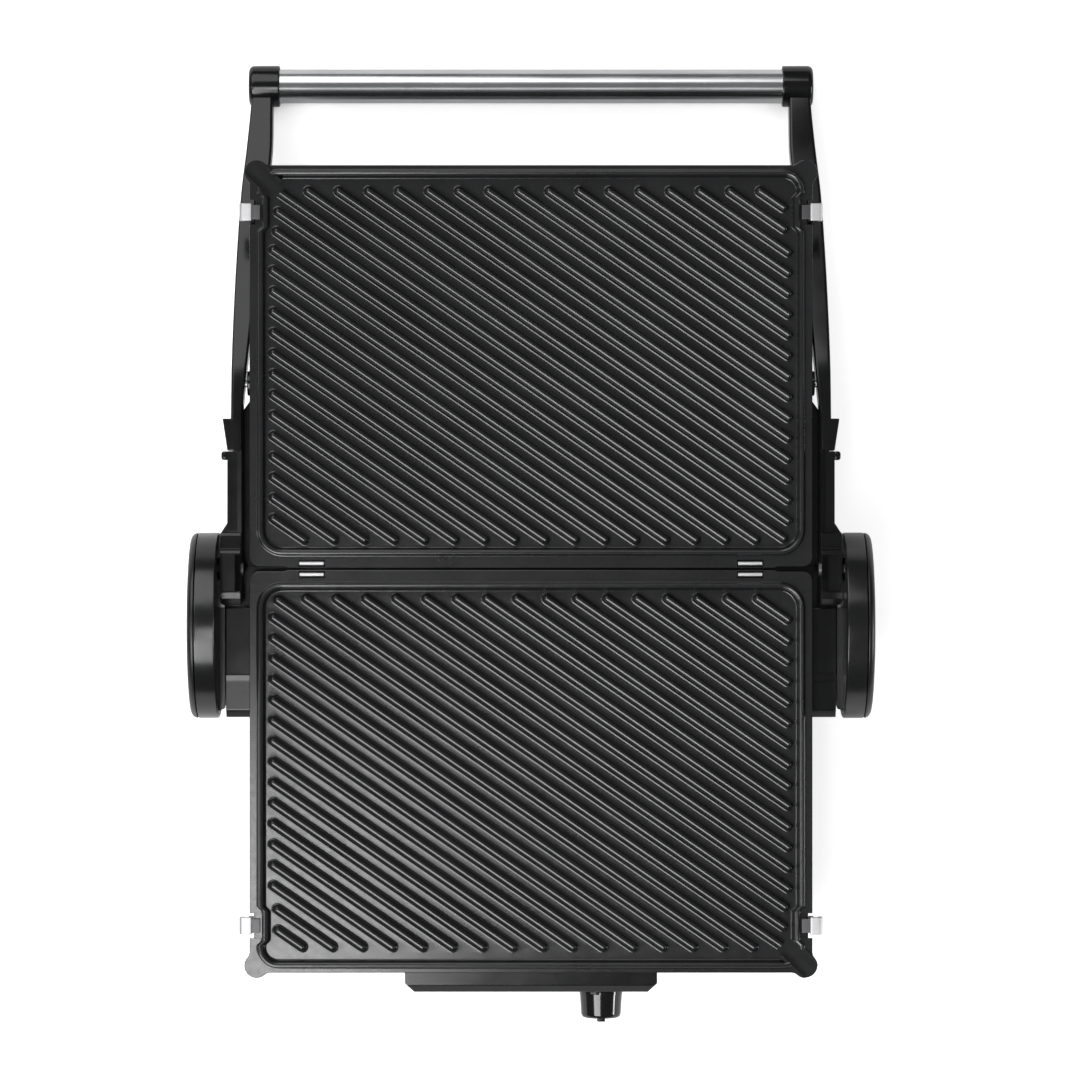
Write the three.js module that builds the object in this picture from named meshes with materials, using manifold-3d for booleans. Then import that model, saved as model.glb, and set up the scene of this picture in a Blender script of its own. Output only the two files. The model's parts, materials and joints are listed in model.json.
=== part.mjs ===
import * as THREE from "three";
import { mergeVertices } from "three/addons/utils/BufferGeometryUtils.js";
import Module from "manifold-3d";

// Electric contact grill, opened flat: millimetres, +X to the right, +Y to the handle, +Z up.
// While it is modelled, the hinge axis is the line y = 0, z = 0. The base lies at negative y and the opened
// lid at positive y, and the closed plates would meet at z = 0. The last lines stand the grill on its feet.

const wasm = await Module();
wasm.setup();

// Overall sizes
const plateWidth = 315.6;
const plateDepth = 225.8;
const seamGap = 1.2;
const matingHeight = 80;
const closedGap = 1;
const fit = 0.3;
const overrun = 4;

// Facets: steps in a quarter turn of an outline's corner, and sides of revolved pieces from large to small
const cornerSteps = 4;
const hubSides = 32;
const roundSides = 24;
const pinSides = 16;
const boreSides = 12;
const screwSides = 10;
const roundShare = 1 - Math.SQRT1_2;

// Grill plates
const flangeThickness = 2.5;
const flangeCornerRadius = 5.6;
const flangeSide = 4.6;
const flangeRear = 7.2;
const flangeFront = 2.9;
const rimWidth = 4;
const rimHeight = 3;
const rimBevel = 1;
const rimBackRadius = 14;
const rimFrontRadius = 11.5;
const basinDraft = 0.8;
const ribHeight = 4.5;
const ribBelowRim = 0.5;
const ribWidth = 5.5;
const ribCrestWidth = 2.6;
const ribPitch = 9.3;
const ribSlope = 33.6;
const ribSideMargin = 6.8;
const ribRearMargin = 5.4;
const ribFrontMargin = 7.6;
const ribShift = 0.4;
const ribShortest = 9;
const ribEndSteps = 3;
const floorThickness = 3.5;
const earRadius = 6.9;
const earInset = 4;
const spoutWidth = 13.4;
const spoutChannelWidth = 9.8;
const spoutRise = 1.6;
const spoutDrop = 0.6;
const spoutReach = 13.8;
const spoutChannelReach = 17.9;

// Plate latches: their place is measured from the plate's front edge
const latchFrontInset = 26.4;
const latchWidth = 10;
const latchTabLength = 7;
const latchTabThickness = 2.8;
const latchTabRise = 1.9;
const latchLipDepth = 8;
const latchLipThickness = 2.5;
const latchNoseThickness = 1.8;
const latchNoseWidth = 8;
const latchStemThickness = 3;
const latchStemWidth = 8;
const latchFootDepth = 25;
const latchFootThickness = 3;
const latchFootWidth = 5;
const latchFootLength = 29;
const latchHeadThickness = 1.5;
const latchHeadSize = 9;
const latchTravel = 4.7;
const latchGapInPlate = 2;
const latchNotchBehind = 1.6;
const latchSeatInset = 12;
const latchSeatWidth = 12;
const notchDepth = 2.7;
const notchHalfLength = 8;
const notchRamp = 3;
const springWire = 1;
const springDiameter = 8.6;
const springCurls = 3;
const springStepsPerCurl = 8;
const springSides = 5;

// Rear clips
const clipInset = 34.9;
const clipLength = 13.7;
const clipSetback = 2.4;
const clipThickness = 1.2;
const clipNose = 0.9;
const clipRise = 1.6;
const clipHeight = 14;

// Heating elements and reflectors
const heaterDiameter = 6.5;
const heaterInset = 34;
const heaterBend = 30;
const heaterTailSpread = 44;
const heaterSides = 6;
const heaterBendSteps = 4;
const reflectorThickness = 1;
const reflectorInset = 6.5;
const ledgeWidth = 11;
const ledgeThickness = 2;

// Housings
const housingWall = 3;
const housingInset = 2.3;
const housingRearInset = 1.6;
const housingTopRadius = 7;
const baseTaper = 14;
const baseBottomRadius = 26;
const baseClearance = 11;
const lidTaper = 15;
const lidBottomRadius = 30;
const lidShellDepth = 50;
const lidCoverDepth = 7.7;
const lidCoverTaper = 10;
const lidCoverWall = 1.5;
// Shells that narrow downwards: [share of the depth, share of the taper] for each ring
const baseSideShares = [
  [0, 0],
  [0.42, 0.18],
  [0.86, 0.62],
  [1, 1],
];
const lidSideShares = [
  [0, 0],
  [0.4, 0.18],
  [0.8, 0.64],
  [1, 1],
];
const lidCoverShares = [
  [0, 0],
  [0.6, 0.3],
  [1, 1],
];
const coverThickness = 2.4;
const footDiameter = 18;
const footFlare = 1.2;
const footRecess = 1.2;
const footSideInset = 34;
const footRearInset = 36;
const footFrontInset = 34;
const ventLength = 34;
const ventWidth = 4;
const ventPitch = 12;
const ventRow = 30;
const ventsPerSide = 2;

// Hubs, towers and hinge
const sideGap = 4.5;
const neckThickness = 7.9;
const knuckleThickness = 11.6;
const hubGap = 0.5;
const hubRadius = 52;
const hubSetback = 31.6;
const hubDrop = 5;
const hubThickness = 10.6;
const hubBevel = 1;
const hubCoverThickness = 4.8;
const hubCoverRounding = 3.6;
const hubDishRadius = 39;
const hubDishDepth = 0.9;
const hubRoundingSteps = 2;
const lipRadius = 47;
const lipThickness = 2.8;
const lipDrop = 3;
const towerRear = 21.8;
const towerFront = 83.4;
const towerTop = 9;
const towerFoot = 60;
const towerRidgePlace = 60;
const towerRidgeWidth = 2.7;
const towerRidgeHeight = 2.4;
const towerTopBevel = 4.1;
const towerFrontBevel = 12.3;
const towerFrontRise = 17.2;
const towerRearBevel = 12.3;
const pinDiameter = 8;
const pinSetback = 1.3;
const pinClearance = 0.3;
const sliderWidth = 12;
const sliderHeight = 13;
const sliderThickness = 7.6;
const floatTravel = 18;

// Hinge brackets
const bracketTop = 2;
const bracketHeight = 18;
const bracketReach = 66;
const blockReach = 20.2;
const blockRise = 9;
const blockDrop = 9;
const bracketFinThickness = 1.9;
const hookLength = 5;
const hookReach = 3.4;
const hookHeight = 6;
const tongueLength = 26;
const tongueThickness = 3.6;
const tongueHeight = 10;
const pocketDepth = 3.4;
const pocketWall = 1.6;
const pocketFront = 12.5;
const pocketBack = 8.5;
const flareLength = 5.8;

// Lid arms and handle
const armRootThickness = 6;
const armRootLength = 18;
const armEndThickness = 11.8;
const armEndOverhang = 1.4;
const armEndHeight = 15;
const armChamfer = 1.5;
// [share of the length, share inwards outside, share inwards inside, share of the drop] for each section
const armShares = [
  [0, 0, 0, 0],
  [0.16, 0.02, 0.2, 0.08],
  [0.34, 0.1, 0.42, 0.27],
  [0.52, 0.24, 0.65, 0.47],
  [0.68, 0.43, 0.85, 0.64],
  [0.8, 0.69, 1, 0.77],
  [0.92, 0.9, 1, 0.92],
  [1, 1, 1, 1],
];
const wedgeFlare = 2.7;
const wedgeHeight = 13;
const handleReach = 49.6;
const handleDiameter = 19.3;
const handleWall = 1.2;
const handleInsert = 6;
const capDiameter = 23.5;
const capWidth = 17.6;
const capOverhang = 2.1;
const capRounding = 3;
const bossSetback = 12;
const bossSpacing = 46;
const bossDiameter = 14;
const screwDiameter = 4;
const screwHeadDiameter = 7.6;
const screwHeadHeight = 2.6;
const screwLength = 15;

// Control panel, thermostat, knob and lamps
const panelWidth = 141.6;
const panelReach = 11.4;
const panelTop = 8;
const panelHeight = 52;
const panelWall = 2.6;
const panelCorner = 5.2;
const panelSlope = 4;
const panelPocketInset = 7;
const knobPlace = 39.6;
const knobDrop = 34;
const knobDiameter = 24.2;
const knobLength = 16;
const knobTaper = 0.9;
const knobRounding = 2.2;
const knobSkirt = 2.4;
const pointerWidth = 4.6;
const pointerHeight = 1.6;
const shaftDiameter = 6;
const shaftInKnob = 10;
const shaftInBody = 9;
const thermostatDiameter = 27;
const thermostatLength = 15;
const lampDiameter = 6;
const lampRise = 1.2;
const lampLength = 7;
const lampPlaces = [-6, 10];

// Mains inlet
const glandInset = 61.8;
const glandDrop = 50;
const glandDiameter = 12;
const glandFlange = 16;
const glandFlangeThickness = 2.4;
const glandLength = 15;
const glandBore = 7.6;
const glandBossDiameter = 20;
const terminalLength = 34;
const terminalWidth = 16;
const terminalHeight = 14;
const terminalSetback = 44;
const terminalScrew = 5;

// Levels and edges that follow from the sizes above
const rimTop = -closedGap / 2;
const ribTop = rimTop - ribBelowRim;
const floorTop = ribTop - ribHeight;
const flangeTop = rimTop - rimHeight;
const flangeUnder = flangeTop - flangeThickness;
const plateUnder = floorTop - floorThickness;
const plateHalf = plateWidth / 2;
const clipPlace = plateHalf - clipInset;
const glandPlace = plateHalf - glandInset;
const plateBack = -seamGap / 2;
const plateFront = plateBack - plateDepth;
const rimHalf = plateHalf - flangeSide;
const rimBack = plateBack - flangeRear;
const rimFront = plateFront + flangeFront;
const housingTop = flangeUnder - fit;
const housingHalf = plateHalf - housingInset;
const housingBack = plateBack - housingRearInset;
const housingFront = plateFront + housingInset;
const housingBottom = baseClearance - matingHeight;
const latchY = plateFront + latchFrontInset;
const latchNoseX = rimHalf - notchDepth + fit + latchGapInPlate / 2;
const latchTabX = latchNoseX + latchTravel;
const latchStemX = latchTabX;
const latchSeatX = plateHalf - latchSeatInset;
const latchFootTop = -latchFootDepth + latchFootThickness / 2;
const latchFootX = latchStemX + latchStemThickness - latchFootLength;
const heaterZ = plateUnder - fit - heaterDiameter / 2;
const reflectorTop = heaterZ - heaterDiameter / 2 - fit;
const ledgeTop = reflectorTop - reflectorThickness - fit;
const bracketX = plateHalf + sideGap;
const neckX = bracketX + neckThickness;
const knuckleX = bracketX + knuckleThickness;
const hubX = knuckleX + hubGap;
const hubCoverX = hubX + hubThickness + fit;
const towerX = hubX - lipThickness - fit;
const handleY = seamGap / 2 + plateDepth + handleReach;
const handleZ = capDiameter / 2 - matingHeight;
const armEndX = plateHalf + armEndOverhang;
const capX = armEndX + capOverhang;
const armRootX = bracketX + armRootThickness;
const armStart = bracketReach + fit;
const armBend = armStart + armRootLength;
const firstBoss = bracketReach + tongueLength + bossSetback;
const bossPlaces = [firstBoss, firstBoss + bossSpacing];
const panelFace = plateFront - panelReach;
const glandTop = glandFlange / 2 - glandDrop;
const glandSeat = housingBack + fit - wallInset(baseSideShares, housingBottom, baseTaper, glandTop);

// Outlines and solids

function radians(degrees) {
  return (degrees * Math.PI) / 180;
}

// The row of a share table at a share between its rows
function rowAt(table, share) {
  const after = Math.max(table.findIndex((row) => row[0] >= share), 1);
  const [low, high] = [table[after - 1], table[after]];
  const blend = (share - low[0]) / (high[0] - low[0]);
  return low.map((value, column) => value + (high[column] - value) * blend);
}

// How far a housing's wall has moved inwards at a height
function wallInset(shares, bottom, taper, z) {
  return taper * rowAt(shares, (z - housingTop) / (bottom - housingTop))[1];
}

function roundedOutline(half, back, front, backRadius, frontRadius = backRadius, notch = 0) {
  const corners = [
    [half - frontRadius, front + frontRadius, 270, frontRadius],
    [half - backRadius, back - backRadius, 0, backRadius],
    [backRadius - half, back - backRadius, 90, backRadius],
    [frontRadius - half, front + frontRadius, 180, frontRadius],
  ];
  const points = [];
  corners.forEach(([x, y, start, radius], corner) => {
    for (let step = 0; step <= cornerSteps; step++) {
      const angle = radians(start + (90 * step) / cornerSteps);
      points.push(new THREE.Vector2(x + radius * Math.cos(angle), y + radius * Math.sin(angle)));
    }
    if (notch > 0 && corner % 2 === 0) {
      const side = corner === 0 ? 1 : -1;
      points.push(...sideNotch(half, notch, side));
    }
  });
  return points;
}

// The rim steps inwards on both sides to make room for the latches.
function sideNotch(half, depth, side) {
  const rampEnd = notchHalfLength + notchRamp;
  const ends = [-rampEnd, -notchHalfLength, notchHalfLength, rampEnd];
  return ends.map((end, index) => {
    const inwards = index === 1 || index === 2 ? depth : 0;
    return new THREE.Vector2(side * (half - inwards), latchY + side * end);
  });
}

function ringAt(points, z) {
  return points.map((point) => new THREE.Vector3(point.x, point.y, z));
}

function signedVolume(positions, index) {
  const corners = [new THREE.Vector3(), new THREE.Vector3(), new THREE.Vector3()];
  let sum = 0;
  for (let start = 0; start < index.length; start += 3) {
    corners.forEach((corner, offset) => corner.fromBufferAttribute(positions, index[start + offset]));
    sum += corners[0].dot(corners[1].clone().cross(corners[2]));
  }
  return sum;
}

// A closed geometry with merged corners, no flat slivers and its faces pointing out
function closed(geometry) {
  const bare = geometry.clone();
  bare.deleteAttribute("normal");
  bare.deleteAttribute("uv");
  const merged = mergeVertices(bare);
  const positions = merged.getAttribute("position");
  const source = merged.getIndex().array;
  let index = [];
  for (let start = 0; start < source.length; start += 3) {
    const [a, b, c] = source.slice(start, start + 3);
    if (a !== b && b !== c && a !== c) index.push(a, b, c);
  }
  if (signedVolume(positions, index) < 0) index = index.reverse();
  merged.setIndex(index);
  return merged;
}

function toSolid(geometry) {
  const shape = closed(geometry);
  const mesh = new wasm.Mesh({
    numProp: 3,
    vertProperties: new Float32Array(shape.getAttribute("position").array),
    triVerts: new Uint32Array(shape.getIndex().array),
  });
  return new wasm.Manifold(mesh);
}

function toGeometry(solid) {
  const mesh = solid.getMesh();
  const geometry = new THREE.BufferGeometry();
  geometry.setAttribute("position", new THREE.BufferAttribute(new Float32Array(mesh.vertProperties), 3));
  geometry.setIndex(new THREE.BufferAttribute(new Uint32Array(mesh.triVerts), 1));
  return geometry;
}

function join(...geometries) {
  return toGeometry(geometries.map(toSolid).reduce((whole, piece) => whole.add(piece)));
}

function cut(geometry, ...cutters) {
  const solid = cutters.map(toSolid).reduce((whole, cutter) => whole.subtract(cutter), toSolid(geometry));
  return toGeometry(solid);
}

function common(first, second) {
  return toGeometry(toSolid(first).intersect(toSolid(second)));
}

// Triangles that cover one end ring, wound as the ring is
function capOf(ring, flat) {
  const contour = ring.map(flat);
  const winding = THREE.ShapeUtils.area(contour);
  return THREE.ShapeUtils.triangulateShape(contour, []).map((face) => {
    const same = THREE.ShapeUtils.area(face.map((corner) => contour[corner])) * winding > 0;
    return same ? face : face.slice().reverse();
  });
}

// A solid through rings of equal point counts, with both ends capped
function loft(rings, flat = (point) => new THREE.Vector2(point.x, point.y)) {
  const count = rings[0].length;
  const index = [];
  for (let ring = 0; ring + 1 < rings.length; ring++) {
    for (let point = 0; point < count; point++) {
      const next = (point + 1) % count;
      const [a, b] = [ring * count + point, ring * count + next];
      index.push(a, b, b + count, a, b + count, a + count);
    }
  }
  const last = (rings.length - 1) * count;
  for (const [a, b, c] of capOf(rings[0], flat)) {
    index.push(c, b, a);
  }
  for (const [a, b, c] of capOf(rings[rings.length - 1], flat)) {
    index.push(last + a, last + b, last + c);
  }
  const geometry = new THREE.BufferGeometry().setFromPoints(rings.flat());
  geometry.setIndex(index);
  return geometry;
}

function slab(points, from, to) {
  return loft([ringAt(points, from), ringAt(points, to)]);
}

function box(xFrom, xTo, yFrom, yTo, zFrom, zTo) {
  const geometry = new THREE.BoxGeometry(xTo - xFrom, yTo - yFrom, zTo - zFrom);
  return geometry.translate((xFrom + xTo) / 2, (yFrom + yTo) / 2, (zFrom + zTo) / 2);
}

// A plan outline of [x, y] pairs made solid between two heights
function planPrism(pairs, from, to) {
  const shape = new THREE.Shape(pairs.map(([x, y]) => new THREE.Vector2(x, y)));
  const geometry = new THREE.ExtrudeGeometry(shape, { depth: to - from, bevelEnabled: false });
  return geometry.translate(0, 0, from);
}

// A side outline of [y, z] pairs made solid between two places along x
function sidePrism(pairs, from, to) {
  const shape = new THREE.Shape(pairs.map(([y, z]) => new THREE.Vector2(y, z)));
  const geometry = new THREE.ExtrudeGeometry(shape, { depth: to - from, bevelEnabled: false });
  const turn = new THREE.Matrix4().makeBasis(
    new THREE.Vector3(0, 1, 0),
    new THREE.Vector3(0, 0, 1),
    new THREE.Vector3(1, 0, 0),
  );
  return geometry.applyMatrix4(turn).translate(from, 0, 0);
}

// Revolved solids: each profile is a list of [radius, place along the axis] pairs
function turned(profile, sides) {
  return new THREE.LatheGeometry(profile.map(([radius, place]) => new THREE.Vector2(radius, place)), sides);
}

function turnedX(profile, sides, y, z) {
  return turned(profile, sides).rotateZ(-Math.PI / 2).translate(0, y, z);
}

function turnedY(profile, sides, x, z) {
  return turned(profile, sides).translate(x, 0, z);
}

function turnedZ(profile, sides, x, y) {
  return turned(profile, sides).rotateX(Math.PI / 2).translate(x, y, 0);
}

function rodProfile(radius, from, to) {
  return [[0, from], [radius, from], [radius, to], [0, to]];
}

function mirrored(geometry) {
  return closed(geometry.clone().scale(-1, 1, 1));
}

function onSide(geometry, side) {
  return side > 0 ? closed(geometry) : mirrored(geometry);
}

// Grill plates

function rimRing(inset, z) {
  const [back, front] = [rimBack - inset, rimFront + inset];
  const [backRadius, frontRadius] = [rimBackRadius - inset, rimFrontRadius - inset];
  return ringAt(roundedOutline(rimHalf - inset, back, front, backRadius, frontRadius, notchDepth), z);
}

function plateBlank() {
  const edge = roundedOutline(plateHalf, plateBack, plateFront, flangeCornerRadius);
  const flange = slab(edge, flangeUnder, flangeTop);
  const rim = loft([rimRing(0, flangeUnder), rimRing(0, rimTop - rimBevel), rimRing(rimBevel, rimTop)]);
  const lean = wallInset(lidSideShares, -lidShellDepth, lidTaper, plateUnder);
  const tubInset = housingWall + lean + fit * 2;
  const tub = roundedOutline(housingHalf - tubInset, rimBack, housingFront + tubInset, rimBackRadius);
  return join(flange, rim, slab(tub, plateUnder, flangeTop));
}

function basin() {
  return loft([
    rimRing(rimWidth + basinDraft, floorTop),
    rimRing(rimWidth, rimTop - rimBevel),
    rimRing(rimWidth - rimBevel, rimTop),
    rimRing(rimWidth - rimBevel, rimTop + overrun),
  ]);
}

function ribRing(length, width, z) {
  const points = [];
  for (const end of [1, -1]) {
    for (let step = 0; step <= ribEndSteps; step++) {
      const angle = radians(90 * (1 - end) - 90 + (180 * step) / ribEndSteps);
      const x = (end * length) / 2 + (width / 2) * Math.cos(angle);
      points.push(new THREE.Vector3(x, (width / 2) * Math.sin(angle), z));
    }
  }
  return points;
}

function rib(length) {
  const root = floorThickness / 2;
  const draft = (ribWidth - ribCrestWidth) / ribHeight;
  return loft([
    ribRing(length, ribWidth + draft * root, floorTop - root),
    ribRing(length, ribCrestWidth, ribTop),
  ]);
}

// Where a rib's centre line, offset across the slope, enters and leaves the cooking field
function ribSpan(offset) {
  const slope = radians(ribSlope);
  const half = rimHalf - rimWidth - ribSideMargin;
  const back = rimBack - rimWidth - ribRearMargin;
  const front = rimFront + rimWidth + ribFrontMargin;
  const centre = (rimBack + rimFront) / 2 + ribShift;
  const middle = new THREE.Vector2(offset * Math.sin(slope), centre + offset * Math.cos(slope));
  const along = new THREE.Vector2(Math.cos(slope), -Math.sin(slope));
  const start = Math.max((-half - middle.x) / along.x, (back - middle.y) / along.y);
  const end = Math.min((half - middle.x) / along.x, (front - middle.y) / along.y);
  return [start, end].map((reach) => middle.clone().addScaledVector(along, reach));
}

function ribs() {
  const solids = [];
  const most = Math.ceil(Math.hypot(plateHalf, plateDepth / 2) / ribPitch);
  for (let count = -most; count <= most; count++) {
    const [left, right] = ribSpan(count * ribPitch);
    if (right.x - left.x < ribShortest) continue;
    const bar = rib(left.distanceTo(right)).rotateZ(-radians(ribSlope));
    solids.push(bar.translate((left.x + right.x) / 2, (left.y + right.y) / 2, 0));
  }
  return solids;
}

function ear(side, from, to) {
  const x = side * (plateHalf - earInset);
  return turnedZ(rodProfile(earRadius, from, to), pinSides, x, plateFront + earInset);
}

// A bar that points from the basin to the ear at the right front corner, at 45 degrees
function cornerBar(width, inwards, outwards, from, to) {
  const bar = box(-inwards, outwards, -width / 2, width / 2, from, to).rotateZ(-radians(45));
  return bar.translate(plateHalf - earInset, plateFront + earInset, 0);
}

function latchCuts(side) {
  const half = latchWidth / 2 + latchGapInPlate;
  const edge = plateHalf + overrun;
  const [x, y] = [side * (latchTabX - fit - latchNotchBehind), latchY];
  const ledge = side * (rimHalf - notchDepth + fit);
  const noseUnder = flangeTop - latchTabThickness + latchTabRise;
  const [from, to] = [Math.min(x, side * edge), Math.max(x, side * edge)];
  const through = box(from, to, y - half, y + half, plateUnder, rimTop);
  const bed = [Math.min(ledge, side * edge), Math.max(ledge, side * edge)];
  return [through, box(...bed, y - half, y + half, noseUnder - fit, rimTop)];
}

function clipSlot(side) {
  const x = side * clipPlace;
  const half = clipLength / 2 + fit;
  const front = plateBack - clipSetback - clipThickness - fit * 2;
  return box(x - half, x + half, front, front + clipThickness + clipNose + fit * 4, plateUnder, rimTop);
}

function grillPlate() {
  const dug = cut(plateBlank(), basin());
  const channelFloor = floorTop - spoutDrop;
  const spoutTop = flangeTop + spoutRise;
  const whole = join(
    dug,
    ...ribs(),
    ear(-1, flangeUnder, flangeTop),
    ear(1, plateUnder, spoutTop),
    cornerBar(spoutWidth, spoutReach, 0, plateUnder, spoutTop),
  );
  return cut(
    whole,
    cornerBar(spoutChannelWidth, spoutChannelReach, spoutReach, channelFloor, rimTop + overrun),
    ...latchCuts(1),
    ...latchCuts(-1),
    clipSlot(1),
    clipSlot(-1),
  );
}

// Rear clips and latches

function rearClip(side) {
  const back = plateBack - clipSetback;
  const top = flangeTop + clipRise;
  const profile = [
    [back - clipThickness, top - clipHeight],
    [back, top - clipHeight],
    [back, flangeTop + fit],
    [back + clipNose, flangeTop + fit],
    [back + clipNose, top - clipNose / 2],
    [back, top],
    [back - clipThickness / 2, top],
    [back - clipThickness, top - clipThickness / 2],
  ];
  return onSide(sidePrism(profile, clipPlace - clipLength / 2, clipPlace + clipLength / 2), side);
}

function latch(side) {
  const tabTop = flangeTop + latchTabRise;
  const tabUnder = tabTop - latchTabThickness;
  const footTop = latchFootTop;
  const footUnder = footTop - latchFootThickness;
  const y = latchY;
  const head = latchHeadSize / 2;
  const tabEnd = latchTabX + latchTabLength;
  const stemEnd = latchStemX + latchStemThickness;
  const widths = [latchWidth, latchNoseWidth, latchStemWidth, latchFootWidth];
  const [wide, nose, stem, foot] = widths.map((width) => width / 2);
  const solid = join(
    box(latchTabX, tabEnd, y - wide, y + wide, tabUnder, tabTop),
    box(tabEnd - latchLipThickness, tabEnd, y - wide, y + wide, tabTop - latchLipDepth, tabTop),
    box(latchNoseX, latchTabX + fit, y - nose, y + nose, tabUnder, tabUnder + latchNoseThickness),
    box(latchStemX, stemEnd, y - stem, y + stem, footUnder, tabUnder + fit),
    box(latchFootX, stemEnd, y - foot, y + foot, footUnder, footTop),
    box(
      latchFootX - latchHeadThickness,
      latchFootX,
      y - head,
      y + head,
      -latchFootDepth - head,
      -latchFootDepth + head,
    ),
  );
  return onSide(solid, side);
}

class SpringLine extends THREE.Curve {
  constructor(from, to) {
    super();
    this.from = from;
    this.to = to;
  }

  getPoint(share) {
    const angle = share * springCurls * 2 * Math.PI;
    const radius = (springDiameter - springWire) / 2;
    const x = this.from + (this.to - this.from) * share;
    const [y, z] = [radius * Math.cos(angle), radius * Math.sin(angle)];
    return new THREE.Vector3(x, latchY + y, z - latchFootDepth);
  }
}

function latchSpring(side) {
  const wire = new THREE.Shape().absarc(0, 0, springWire / 2, 0, 2 * Math.PI);
  const reach = springWire / 2 + fit;
  const path = new SpringLine(latchFootX + reach, latchSeatX - reach);
  const options = { steps: springCurls * springStepsPerCurl, bevelEnabled: false, extrudePath: path };
  const section = new THREE.Shape(wire.getPoints(springSides).slice(0, springSides));
  return onSide(new THREE.ExtrudeGeometry(section, options), side);
}

// Heating elements and reflectors

// The middle line of the element: a rectangle with round corners, open at the rear between its two tails
function heaterPoints() {
  const half = rimHalf - heaterInset;
  const back = rimBack - heaterInset;
  const front = rimFront + heaterInset;
  const tail = heaterTailSpread / 2;
  const corners = [
    [-half, back, 90],
    [-half, front, 180],
    [half, front, 270],
    [half, back, 0],
  ];
  const points = [new THREE.Vector3(-tail, back, heaterZ)];
  for (const [x, y, start] of corners) {
    const middleX = x - Math.sign(x) * heaterBend;
    const middleY = y === back ? y - heaterBend : y + heaterBend;
    for (let step = 0; step <= heaterBendSteps; step++) {
      const angle = radians(start + (90 * step) / heaterBendSteps);
      const [along, across] = [heaterBend * Math.cos(angle), heaterBend * Math.sin(angle)];
      points.push(new THREE.Vector3(middleX + along, middleY + across, heaterZ));
    }
  }
  points.push(new THREE.Vector3(tail, back, heaterZ));
  return points;
}

function heater() {
  const points = heaterPoints();
  const radius = heaterDiameter / 2;
  const rings = points.map((point, index) => {
    const before = points[Math.max(index - 1, 0)];
    const after = points[Math.min(index + 1, points.length - 1)];
    const along = after.clone().sub(before).normalize();
    const ring = [];
    for (let corner = 0; corner < heaterSides; corner++) {
      const angle = (corner * 2 * Math.PI) / heaterSides;
      const [across, up] = [radius * Math.cos(angle), radius * Math.sin(angle)];
      const offset = new THREE.Vector3(-along.y * across, along.x * across, up);
      ring.push(offset.add(point));
    }
    return ring;
  });
  return closed(loft(rings, (point) => new THREE.Vector2(point.y, point.z)));
}

function reflector() {
  const outline = (inset) =>
    roundedOutline(
      rimHalf - reflectorInset - inset,
      rimBack - reflectorInset - inset,
      rimFront + reflectorInset + inset,
      rimBackRadius - inset,
    );
  const bottom = reflectorTop - reflectorThickness;
  const top = plateUnder - fit * 2;
  const tray = slab(outline(0), bottom, top);
  return cut(tray, slab(outline(reflectorThickness), reflectorTop, top + overrun));
}

// Housings

// Rings of a housing's shell, from the bottom up. A cutter runs straight on past both ends.
function shellRings(shares, bottom, taper, bottomRadius, inset, endOverrun) {
  const rings = shares.map(([depthShare, taperShare]) => {
    const inwards = taper * taperShare + inset;
    const radius = housingTopRadius + (bottomRadius - housingTopRadius) * depthShare - inset;
    const [back, front] = [housingBack - inwards, housingFront + inwards];
    const outline = roundedOutline(housingHalf - inwards, back, front, Math.max(radius, housingWall / 2));
    return ringAt(outline, housingTop + (bottom - housingTop) * depthShare);
  });
  if (endOverrun > 0) {
    rings.unshift(ringAt(rings[0], housingTop + endOverrun));
    rings.push(ringAt(rings[rings.length - 1], bottom - endOverrun));
  }
  return rings.reverse();
}

function baseOuter() {
  return loft(shellRings(baseSideShares, housingBottom, baseTaper, baseBottomRadius, 0, 0));
}

function baseInner() {
  return loft(shellRings(baseSideShares, housingBottom, baseTaper, baseBottomRadius, housingWall, overrun));
}

function lidOuter() {
  return loft(shellRings(lidSideShares, -lidShellDepth, lidTaper, lidBottomRadius, 0, 0));
}

function lidInner() {
  return loft(shellRings(lidSideShares, -lidShellDepth, lidTaper, lidBottomRadius, housingWall, overrun));
}

// The reflector rests on a ledge inside the walls.
function ledge(outer) {
  const inner = roundedOutline(
    housingHalf - ledgeWidth - housingWall,
    housingBack - ledgeWidth - housingWall,
    housingFront + ledgeWidth + housingWall,
    rimBackRadius,
  );
  const wide = roundedOutline(housingHalf, housingBack, housingFront, rimBackRadius);
  const band = common(slab(wide, ledgeTop - ledgeThickness, ledgeTop), outer);
  return cut(band, slab(inner, ledgeTop - ledgeThickness - overrun, ledgeTop + overrun));
}

// A flat seat for a latch's spring, inside the wall
function latchSeat(side, outer) {
  const half = latchSeatWidth / 2;
  const z = -latchFootDepth;
  const block = box(latchSeatX, plateHalf, latchY - half, latchY + half, z - half, z + half);
  return common(onSide(block, side), outer);
}

function latchPassage(side) {
  const stem = latchStemWidth / 2 + fit;
  const foot = latchFootWidth / 2 + fit;
  const footUnder = latchFootTop - latchFootThickness - fit;
  const outwards = plateHalf + overrun;
  const solid = join(
    box(latchStemX - fit, outwards, latchY - stem, latchY + stem, footUnder, housingTop + overrun),
    box(latchSeatX - overrun, outwards, latchY - foot, latchY + foot, footUnder, latchFootTop + fit),
  );
  return onSide(solid, side);
}

function clipSeat(side) {
  const half = clipLength / 2 + fit;
  const back = housingBack + overrun;
  const front = plateBack - clipSetback - clipThickness - fit;
  const bottom = flangeTop + clipRise - clipHeight - fit;
  return onSide(box(clipPlace - half, clipPlace + half, front, back, bottom, housingTop + overrun), side);
}

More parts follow.
